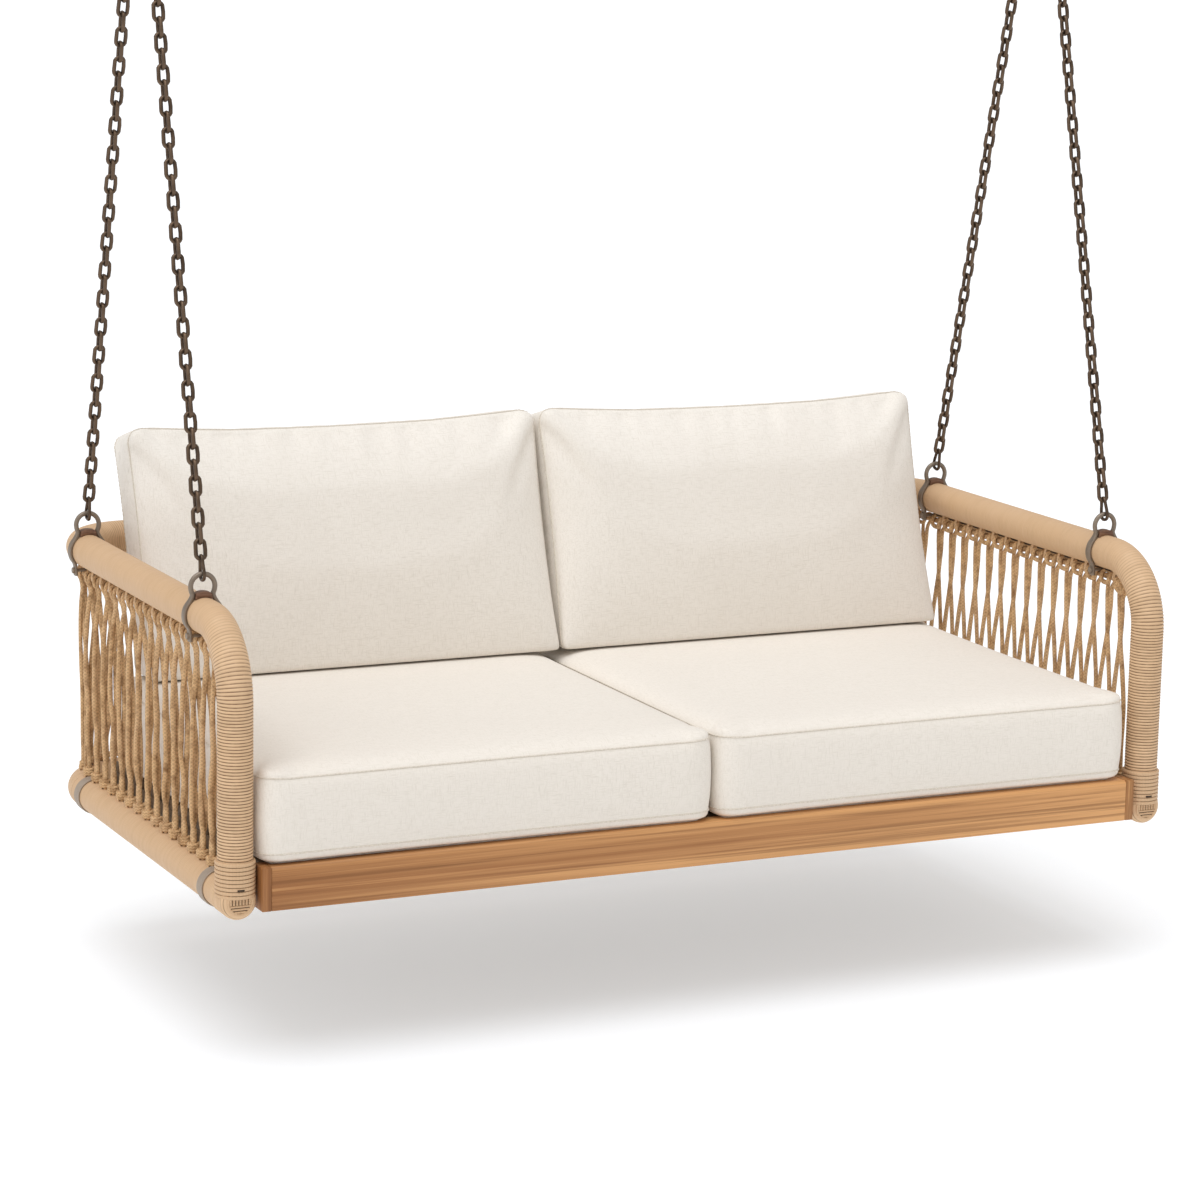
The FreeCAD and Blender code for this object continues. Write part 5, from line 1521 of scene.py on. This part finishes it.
class SWING_OT_bands(bpy.types.Operator):
    """Bend the bands that carry the deck, and drive the screws of bands and ceiling plates"""

    bl_idname = "swing.bands"
    bl_label = "Bands and screws"

    def execute(self, context):
        low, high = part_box("rail_bands")
        side_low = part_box("left_side_rail")[0]
        wide = BAND_WIDTH
        shell = Shell()
        screws = {-1: [], 1: []}
        for y in (low.y - SWING.post_y + wide / 2, high.y - SWING.post_y - wide / 2):
            for side in (-1, 1):
                x = side * SWING.half
                radius = SWING.pole + 0.0016
                ring = arc((x, y, 0), (1, 0, 0), (0, 0, 1), radius, 0, 354, 0.0035)
                shell.sweep(
                    seat(ring), 1.0, 16, up=(0, 1, 0), closed=True, flat=(wide / 2, 0.0013), square=6.0
                )
                rail_x = side * abs(side_low.x)
                web = sorted((x - side * (SWING.pole - 0.001), rail_x + side * 0.0002))
                plate = sorted((rail_x + side * 0.0002, rail_x + side * 0.0024))
                for span, high_half, rounding in ((web, 0.0037, 0.0008), (plate, 0.018, 0.0007)):
                    near = seat((span[0], y - wide / 2, -high_half))
                    shell.block(near, seat((span[1], y + wide / 2, high_half)), rounding)
                for z in (-0.011, 0.011):
                    screws[side].append(tuple(seat((rail_x + side * 0.0023, y, z))))
        place("rail_bands_bent", shell, [finish("band")], "seat", ["rail_bands"], 40)
        tree = screw_tree()
        for side, name in SIDES:
            facing = (0, side * math.pi / 2, 0)
            self.drive(f"band_screws_{name}", tree, screws[side], facing, 0.0042, "seat")
        spots = []
        for name in ("left", "right"):
            low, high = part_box(f"{name}_ceiling_eye")
            middle = (low + high) / 2
            for a in (-1, 1):
                for b in (-1, 1):
                    spots.append((middle.x + a * 0.033, middle.y + b * 0.018, high.z - 0.0058))
        self.drive("ceiling_screws", tree, spots, (math.pi, 0, 0), 0.0068, "ceiling")
        return {"FINISHED"}

    def drive(self, name, tree, spots, facing, head, body):
        base = bpy.data.meshes.new(f"{name}_spots")
        base.from_pydata(spots, [], [])
        values = {"Head": head, "Rise": head * 0.55, "Facing": facing, "Finish": finish("chain")}
        settle(grown(name, base, tree, values), body, [])


# Cushions


class Cover:
    """A boxed cushion cover as a grid, with the rows where its panels are sewn together."""

    def __init__(self, size, cell, corner):
        """A box of cells from 0 to size; its corners are rounded in the plane of the two panels."""
        self.size = np.array(size, float)
        counts = [max(4, int(round(s / cell))) for s in size]
        self.spots = {}
        self.points = []
        self.faces = []
        self.counts = counts
        for axis in range(3):
            for end in (0, counts[axis]):
                self.wall(axis, end)
        self.points = np.array(self.points)
        self.cells = np.array(list(self.spots), int)
        self.round_corners(corner)

    def at(self, cell):
        if cell not in self.spots:
            self.spots[cell] = len(self.points)
            self.points.append([c / n * s for c, n, s in zip(cell, self.counts, self.size)])
        return self.spots[cell]

    def wall(self, axis, end):
        one, two = [a for a in range(3) if a != axis]
        flip = (end == 0) != (axis == 1)
        for i in range(self.counts[one]):
            for j in range(self.counts[two]):
                corners = []
                for a, b in ((0, 0), (1, 0), (1, 1), (0, 1)):
                    cell = [0, 0, 0]
                    cell[axis], cell[one], cell[two] = end, i + a, j + b
                    corners.append(self.at(tuple(cell)))
                self.faces.append(tuple(reversed(corners)) if flip else tuple(corners))

    def round_corners(self, corner):
        """Pull the square corners of the first two directions in to a radius per corner."""
        x, y = self.points[:, 0].copy(), self.points[:, 1].copy()
        wide, deep = self.size[0], self.size[1]
        for ex in (0, 1):
            for ey in (0, 1):
                radius = corner[ex][ey]
                cx = radius if ex == 0 else wide - radius
                cy = radius if ey == 0 else deep - radius
                a = (cx - x) / radius if ex == 0 else (x - cx) / radius
                b = (cy - y) / radius if ey == 0 else (y - cy) / radius
                inside = (a > 0) & (b > 0)
                m = np.maximum(a, b)
                n = np.sqrt(a * a + b * b)
                share = np.where(inside, m / np.where(n == 0, 1, n), 1.0)
                self.points[:, 0] = np.where(inside, cx + (x - cx) * share, self.points[:, 0])
                self.points[:, 1] = np.where(inside, cy + (y - cy) * share, self.points[:, 1])

    def loop(self, level):
        """The row of points round the box at one level of the third direction, in order."""
        nx, ny, _ = self.counts
        cells = [(i, 0, level) for i in range(nx)]
        cells += [(nx, j, level) for j in range(ny)]
        cells += [(i, ny, level) for i in range(nx, 0, -1)]
        cells += [(0, j, level) for j in range(ny, 0, -1)]
        return [self.spots[cell] for cell in cells]


def draw_seam(points, row):
    """Draw a sewn row of points into the cover."""
    for n, here in enumerate(row):
        before, after = points[row[n - 1]], points[row[(n + 1) % len(row)]]
        along = unit(after - before)
        points[here] -= unit((along[1], -along[0], 0)) * SEAM_DEPTH


def filled(points, faces, held, cap):
    """Fill a sewn cover by cloth simulation; held is how firmly each point is kept, 0 to 1."""
    mesh = bpy.data.meshes.new("cover_fill")
    mesh.from_pydata(points.tolist(), [], faces)
    obj = bpy.data.objects.new("cover_fill", mesh)
    scene = bpy.context.scene
    scene.collection.objects.link(obj)
    group = obj.vertex_groups.new(name="held")
    for weight in np.unique(held.round(2)):
        if weight > 0:
            chosen = np.nonzero(held.round(2) == weight)[0].tolist()
            group.add(chosen, float(weight), "REPLACE")
    cloth_fill = obj.modifiers.new("fill", "CLOTH")
    settings = cloth_fill.settings
    settings.quality = 4
    settings.mass = 0.35
    settings.tension_stiffness = 12
    settings.compression_stiffness = 12
    settings.shear_stiffness = 6
    settings.bending_stiffness = 0.6
    settings.vertex_group_mass = "held"
    settings.use_pressure = True
    settings.uniform_pressure_force = FILL_PRESSURE
    settings.effector_weights.gravity = 0
    cloth_fill.collision_settings.use_collision = False
    cloth_fill.point_cache.frame_start = 1
    cloth_fill.point_cache.frame_end = FILL_FRAMES
    for number in range(1, FILL_FRAMES + 1):
        scene.frame_set(number)
    result = obj.evaluated_get(bpy.context.evaluated_depsgraph_get()).to_mesh()
    moved = np.empty(len(points) * 3, np.float32)
    result.vertices.foreach_get("co", moved)
    moved = moved.reshape(-1, 3).astype(float)
    scene.frame_set(1)
    bpy.data.objects.remove(obj)
    shift = moved - points
    reach = np.linalg.norm(shift, axis=1, keepdims=True)
    return points + shift * np.minimum(1, cap / np.maximum(reach, 1e-9))


def cover_mesh(name, points, faces, material):
    """The filled cover, smoothed once; its first points keep their order."""
    mesh = bpy.data.meshes.new(name)
    mesh.from_pydata(points.tolist(), [], faces)
    mesh.materials.append(material)
    obj = bpy.data.objects.new(name, mesh)
    bpy.context.scene.collection.objects.link(obj)
    smooth = obj.modifiers.new("smooth", "SUBSURF")
    smooth.levels = smooth.render_levels = 1
    fine = bpy.data.meshes.new_from_object(obj.evaluated_get(bpy.context.evaluated_depsgraph_get()))
    obj.modifiers.remove(smooth)
    obj.data = fine
    bpy.data.meshes.remove(mesh)
    fine.name = name
    fine.polygons.foreach_set("use_smooth", [True] * len(fine.polygons))
    return obj


def stitch_tree():
    """Short stitches along a seam, evenly spaced."""
    tree, given, result = tree_with(
        "Stitches",
        (("Spacing", "Float"), ("Length", "Float"), ("Thread", "Float"), ("Finish", "Material")),
    )
    give = given.outputs
    curve = node(tree, "GeometryNodeMeshToCurve", n0=give["Geometry"])
    spots = node(tree, "GeometryNodeCurveToPoints", {"mode": "LENGTH"}, Curve=curve.outputs[0])
    tree.links.new(give["Spacing"], spots.inputs["Length"])
    stitch = node(
        tree,
        "GeometryNodeMeshCylinder",
        {"fill_type": "NGON"},
        Vertices=6,
        Radius=give["Thread"],
        Depth=give["Length"],
    )
    sewn = instances(tree, spots.outputs[0], stitch, spots.outputs["Rotation"])
    solid = node(tree, "GeometryNodeRealizeInstances", Geometry=sewn.outputs[0])
    return painted(tree, solid, give, result)


def sewn(obj, seams, node_name):
    """Lay a seam cord along each row and stitch it; all of it is joined to the cover."""
    co = np.empty(len(obj.data.vertices) * 3, np.float32)
    obj.data.vertices.foreach_get("co", co)
    co = co.reshape(-1, 3).astype(float)
    normals = np.empty(len(obj.data.vertices) * 3, np.float32)
    obj.data.vertices.foreach_get("normal", normals)
    normals = normals.reshape(-1, 3).astype(float)
    cord = Shell()
    spots, edges = [], []
    for row in seams:
        path = eased(co[row] + normals[row] * 0.0001, 0.006, True)
        cord.sweep(path, SEAM_CORD, 6, closed=True)
        first = len(spots)
        path = eased(co[row] + normals[row] * 0.0011, 0.004, True)
        spots += path.tolist()
        edges += [(first + n, first + (n + 1) % len(path)) for n in range(len(path))]
    s = sizes()
    base = bpy.data.meshes.new("seam_path")
    base.from_pydata(spots, edges, [])
    values = {
        "Spacing": s.stitch_spacing,
        "Length": s.stitch_length,
        "Thread": SEAM_THREAD,
        "Finish": finish("thread"),
    }
    stitches = grown(f"{node_name}_stitches", base, stitch_tree(), values)
    settle(stitches, "seat", [])
    # the seam cords carry the crease colour, painted shade along the seams
    place(f"{node_name}_seam", cord, [finish("crease")], "seat", [], 180)
    settle(obj, "seat", [node_name])


class SWING_OT_seat_cushions(bpy.types.Operator):
    """Sew and fill the two boxed seat cushions"""

    bl_idname = "swing.seat_cushions"
    bl_label = "Seat cushions"

    def execute(self, context):
        for node_name, inner in (("left_seat_cushion", 1), ("right_seat_cushion", 0)):
            low, high = (np.array(corner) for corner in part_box(node_name))
            wide, deep, tall = high - low
            front, rear = 0.034, 0.062
            ends = [(front, 0.005 if inner == end else rear) for end in (0, 1)]
            cover = Cover((wide, deep, tall - 0.008), sizes().cloth_cell, ends)
            points = cover.points.copy()
            u, v = points[:, 0] / wide, points[:, 1] / deep
            w = points[:, 2] / cover.size[2]
            nz = cover.counts[2]
            top_row, low_row = cover.loop(nz - 1), cover.loop(2)
            crown = (1 - np.abs(2 * u - 1) ** 4) * (1 - np.abs(2 * v - 1) ** 4)
            edge = self.edge_drop(points, wide, deep, 0.030)
            is_top = cover.cells[:, 2] == nz
            points[:, 2] += np.where(is_top, 0.0075 * crown ** 0.8 - 0.0035 * edge, 0.0)
            self.draw_in(points, u, v, w, inner)
            self.tuck(points, cover)
            held = np.zeros(len(points))
            held[cover.cells[:, 2] == 0] = 1.0
            held[cover.loop(1)] = 0.9
            held[low_row] = 0.9
            held[top_row] = 0.8
            shape = points.copy()
            shape[:, 2] += np.where(is_top, -0.004 * crown, 0)
            points = filled(shape, cover.faces, held, 0.024)
            points[:, 0] = np.clip(points[:, 0], -0.0025, wide + 0.0025)
            points[:, 1] = np.clip(points[:, 1], -0.006, deep + 0.004)
            points[:, 2] = np.clip(points[:, 2], 0.0, None)
            ceiling = tall - 0.0006
            over = points[:, 2] > ceiling - 0.012
            soft = ceiling - 0.012 * np.exp(-(points[:, 2] - ceiling + 0.012) / 0.012)
            points[:, 2] = np.where(over, soft, points[:, 2])
            for row in (top_row, low_row):
                draw_seam(points, row)
            cloth_material = finish("seat_cloth")
            obj = cover_mesh(f"{node_name}_sewn", points + low, cover.faces, cloth_material)
            sewn(obj, [top_row, low_row], node_name)
        return {"FINISHED"}

    def edge_drop(self, points, wide, deep, reach):
        away = np.minimum.reduce([points[:, 0], wide - points[:, 0], points[:, 1], deep - points[:, 1]])
        return np.clip(1 - away / reach, 0, 1) ** 2

    def draw_in(self, points, u, v, w, inner):
        """Outer sides pull in a little between the corners; all sides swell between the seams."""
        bow = 0.005
        swell = 0.004 * np.sin(np.pi * np.clip(w, 0, 1))
        lean_x = (1 - (2 * v - 1) ** 2) * bow
        lean_y = (1 - (2 * u - 1) ** 2) * bow - swell
        left = lean_x * (inner != 0) - swell
        right = lean_x * (inner != 1) - swell
        points[:, 0] += np.where(u < 0.02, left, 0) - np.where(u > 0.98, right, 0)
        points[:, 1] += np.where(v < 0.02, lean_y, 0) - np.where(v > 0.98, lean_y, 0)

    def tuck(self, points, cover):
        """Roll the lowest edge under."""
        row = cover.loop(0)
        ring = points[row]
        along = np.roll(ring, -1, 0) - np.roll(ring, 1, 0)
        along /= np.linalg.norm(along, axis=1, keepdims=True)
        points[row] -= np.stack([along[:, 1], -along[:, 0], np.zeros(len(row))], axis=1) * 0.022
        points[cover.loop(1), 2] = 0.007
        points[cover.loop(2), 2] = 0.016


class SWING_OT_back_cushions(bpy.types.Operator):
    """Sew and fill the two leaning back cushions"""

    bl_idname = "swing.back_cushions"
    bl_label = "Back cushions"

    def execute(self, context):
        lean = math.tan(BACK_LEAN)
        for node_name, seed in (("left_back_cushion", 3), ("right_back_cushion", 8)):
            low, high = (np.array(corner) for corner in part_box(node_name))
            wide, tall = high[0] - low[0], high[2] - low[2]
            deep = BACK_DEEP
            foot_y = low[1] + 0.0022
            corner = 0.030
            cover = Cover(
                (wide, tall, deep), sizes().cloth_cell, ((0.006, corner), (0.006, corner))
            )
            points = cover.points.copy()
            u, h = points[:, 0] / wide, points[:, 1] / tall
            nz = cover.counts[2]
            front_row, rear_row = cover.loop(1), cover.loop(nz - 1)
            belly = (1 - np.abs(2 * u - 1) ** 2.6) * (1 - np.abs(2 * h - 1) ** 2.6)
            front = cover.cells[:, 2] == 0
            rear = cover.cells[:, 2] == nz
            points[:, 2] += np.where(front, -0.013 * belly, 0) + np.where(rear, 0.016 * belly, 0)
            bow = 0.006
            sag = (1 - (2 * u - 1) ** 2) * 0.015
            points[:, 1] -= np.where(h > 0.98, sag, 0)
            pull = (1 - (2 * h - 1) ** 2) * bow - 0.004
            points[:, 0] += np.where(u < 0.02, pull, 0) - np.where(u > 0.98, pull, 0)
            held = np.zeros(len(points))
            held[cover.cells[:, 1] == 0] = 1.0
            held[front_row] = 0.8
            held[rear_row] = 0.8
            points = filled(points, cover.faces, held, 0.026)
            self.wrinkle(points, u, h, front, seed)
            points[:, 1] = np.clip(points[:, 1], 0.0, tall + 0.004)
            points[:, 0] = np.clip(points[:, 0], -0.0037, wide + 0.0037)
            for row in (front_row, rear_row):
                draw_seam(points, row)
            rise_share = np.clip(points[:, 1] / tall, 0, 1)
            placed = np.stack(
                [
                    low[0] + points[:, 0],
                    foot_y + 0.014 + points[:, 2] + lean * points[:, 1],
                    low[2] + 0.0003 + points[:, 1] - lean * points[:, 2] * rise_share,
                ],
                axis=1,
            )
            faces = [tuple(reversed(face)) for face in cover.faces]
            # the lighter back linen is painted light
            cloth_material = finish("back_cloth_lightened")
            obj = cover_mesh(f"{node_name}_sewn", placed, faces, cloth_material)
            sewn(obj, [front_row, rear_row], node_name)
        return {"FINISHED"}

    def wrinkle(self, points, u, h, front, seed):
        """Short soft folds that hang from the top edge of the front panel."""
        chance = np.random.default_rng(seed)
        fold = np.zeros(len(points))
        for _ in range(26):
            spot, width = chance.uniform(0.05, 0.95), chance.uniform(0.010, 0.024)
            drop, size_here = chance.uniform(0.08, 0.28), chance.uniform(0.003, 0.0072)
            lean = chance.uniform(-0.12, 0.12)
            across = (u - spot - lean * (1 - h)) / width
            fade = np.clip((h - (1 - drop)) / drop, 0, 1) * np.clip((1.02 - h) / 0.04, 0, 1)
            fold += size_here * np.exp(-across * across) * fade
        points[:, 2] += np.where(front, fold, 0)


# Stage


class SWING_OT_stage(bpy.types.Operator):
    """Lay the pale floor, set the soft lights and place the camera"""

    bl_idname = "swing.stage"
    bl_label = "Stage"

    def execute(self, context):
        scene = context.scene
        mesh = bpy.data.meshes.new("floor")
        drop = SWING.rail_z - sizes().floor_drop
        mesh.from_pydata(
            [(-60, -60, drop), (60, -60, drop), (60, 60, drop), (-60, 60, drop)], [], [(0, 1, 2, 3)]
        )
        f = Finish("pale floor")
        cloud = f.noise(f.objects(), 0.8)
        f.put(f.shader, "Emission Color", (1, 1, 1, 1))
        f.put(f.shader, "Emission Strength", 0.44)
        tint = f.mix(cloud, (0.622, 0.635, 0.648), (0.632, 0.645, 0.658))
        mesh.materials.append(f.done(tint, f.spread(cloud, 0, 1, 0.8, 0.85)))
        floor = bpy.data.objects.new("floor", mesh)
        scene.collection.objects.link(floor)
        world = bpy.data.worlds.new("studio")
        world.use_nodes = True
        background = world.node_tree.nodes["Background"]
        background.inputs["Color"].default_value = (1, 1, 1, 1)
        background.inputs["Strength"].default_value = 0.55
        scene.world = world
        for name, strength, angle, turn in (
            ("overhead", 1.75, 50, (10, -12, 0)),
            ("side fill", 0.3, 40, (58, 0, -62)),
        ):
            lamp = bpy.data.lights.new(name, "SUN")
            lamp.energy = strength
            lamp.color = (0.97, 0.99, 1.03)
            lamp.angle = math.radians(angle)
            obj = bpy.data.objects.new(name, lamp)
            obj.rotation_euler = [math.radians(a) for a in turn]
            scene.collection.objects.link(obj)
        camera = bpy.data.cameras.new("photo view")
        camera.sensor_width = 36
        camera.lens = 113.963
        camera.clip_end = 400
        view = bpy.data.objects.new("photo view", camera)
        around, above, roll = (math.radians(a) for a in (-25.555, 11.152, 1.124))
        back = Vector(
            (math.sin(around) * math.cos(above), -math.cos(around) * math.cos(above), math.sin(above))
        )
        right = Vector((math.cos(around), math.sin(around), 0))
        up = back.cross(right)
        level = right * math.cos(roll) + up * math.sin(roll)
        upright = up * math.cos(roll) - right * math.sin(roll)
        turn = Matrix((level, upright, back)).transposed().to_4x4()
        spot = Vector(seat((-2.8463, -5.4958, 1.6425)))
        view.matrix_world = Matrix.Translation(spot) @ turn
        scene.collection.objects.link(view)
        scene.camera = view
        scene.view_settings.view_transform = "Standard"
        return {"FINISHED"}


OPERATORS = (
    SWING_OT_poles,
    SWING_OT_feet,
    SWING_OT_ropes,
    SWING_OT_chains,
    SWING_OT_hangers,
    SWING_OT_deck,
    SWING_OT_bands,
    SWING_OT_seat_cushions,
    SWING_OT_back_cushions,
    SWING_OT_stage,
)


class SWING_PT_panel(bpy.types.Panel):
    """Lists the pieces of the swing seat"""

    bl_idname = "SWING_PT_panel"
    bl_label = "Swing seat"
    bl_space_type = "VIEW_3D"
    bl_region_type = "UI"
    bl_category = "Swing seat"

    def draw(self, context):
        for operator in OPERATORS:
            self.layout.operator(operator.bl_idname)
        for group in (context.scene.swing_sizes, context.scene.swing_colours):
            box = self.layout.box()
            for key in group.__annotations__:
                box.prop(group, key)


CLASSES = (SwingSizes, SwingColours, *OPERATORS, SWING_PT_panel)


def register():
    for kind in CLASSES:
        bpy.utils.register_class(kind)
    bpy.types.Scene.swing_sizes = bpy.props.PointerProperty(type=SwingSizes)
    bpy.types.Scene.swing_colours = bpy.props.PointerProperty(type=SwingColours)


def unregister():
    del bpy.types.Scene.swing_colours
    del bpy.types.Scene.swing_sizes
    for kind in reversed(CLASSES):
        bpy.utils.unregister_class(kind)


def main():
    register()
    for operator in OPERATORS:
        group, action = operator.bl_idname.split(".")
        if getattr(getattr(bpy.ops, group), action)() != {"FINISHED"}:
            raise RuntimeError(f"{operator.bl_label} did not finish")


if __name__ == "__main__":
    main()
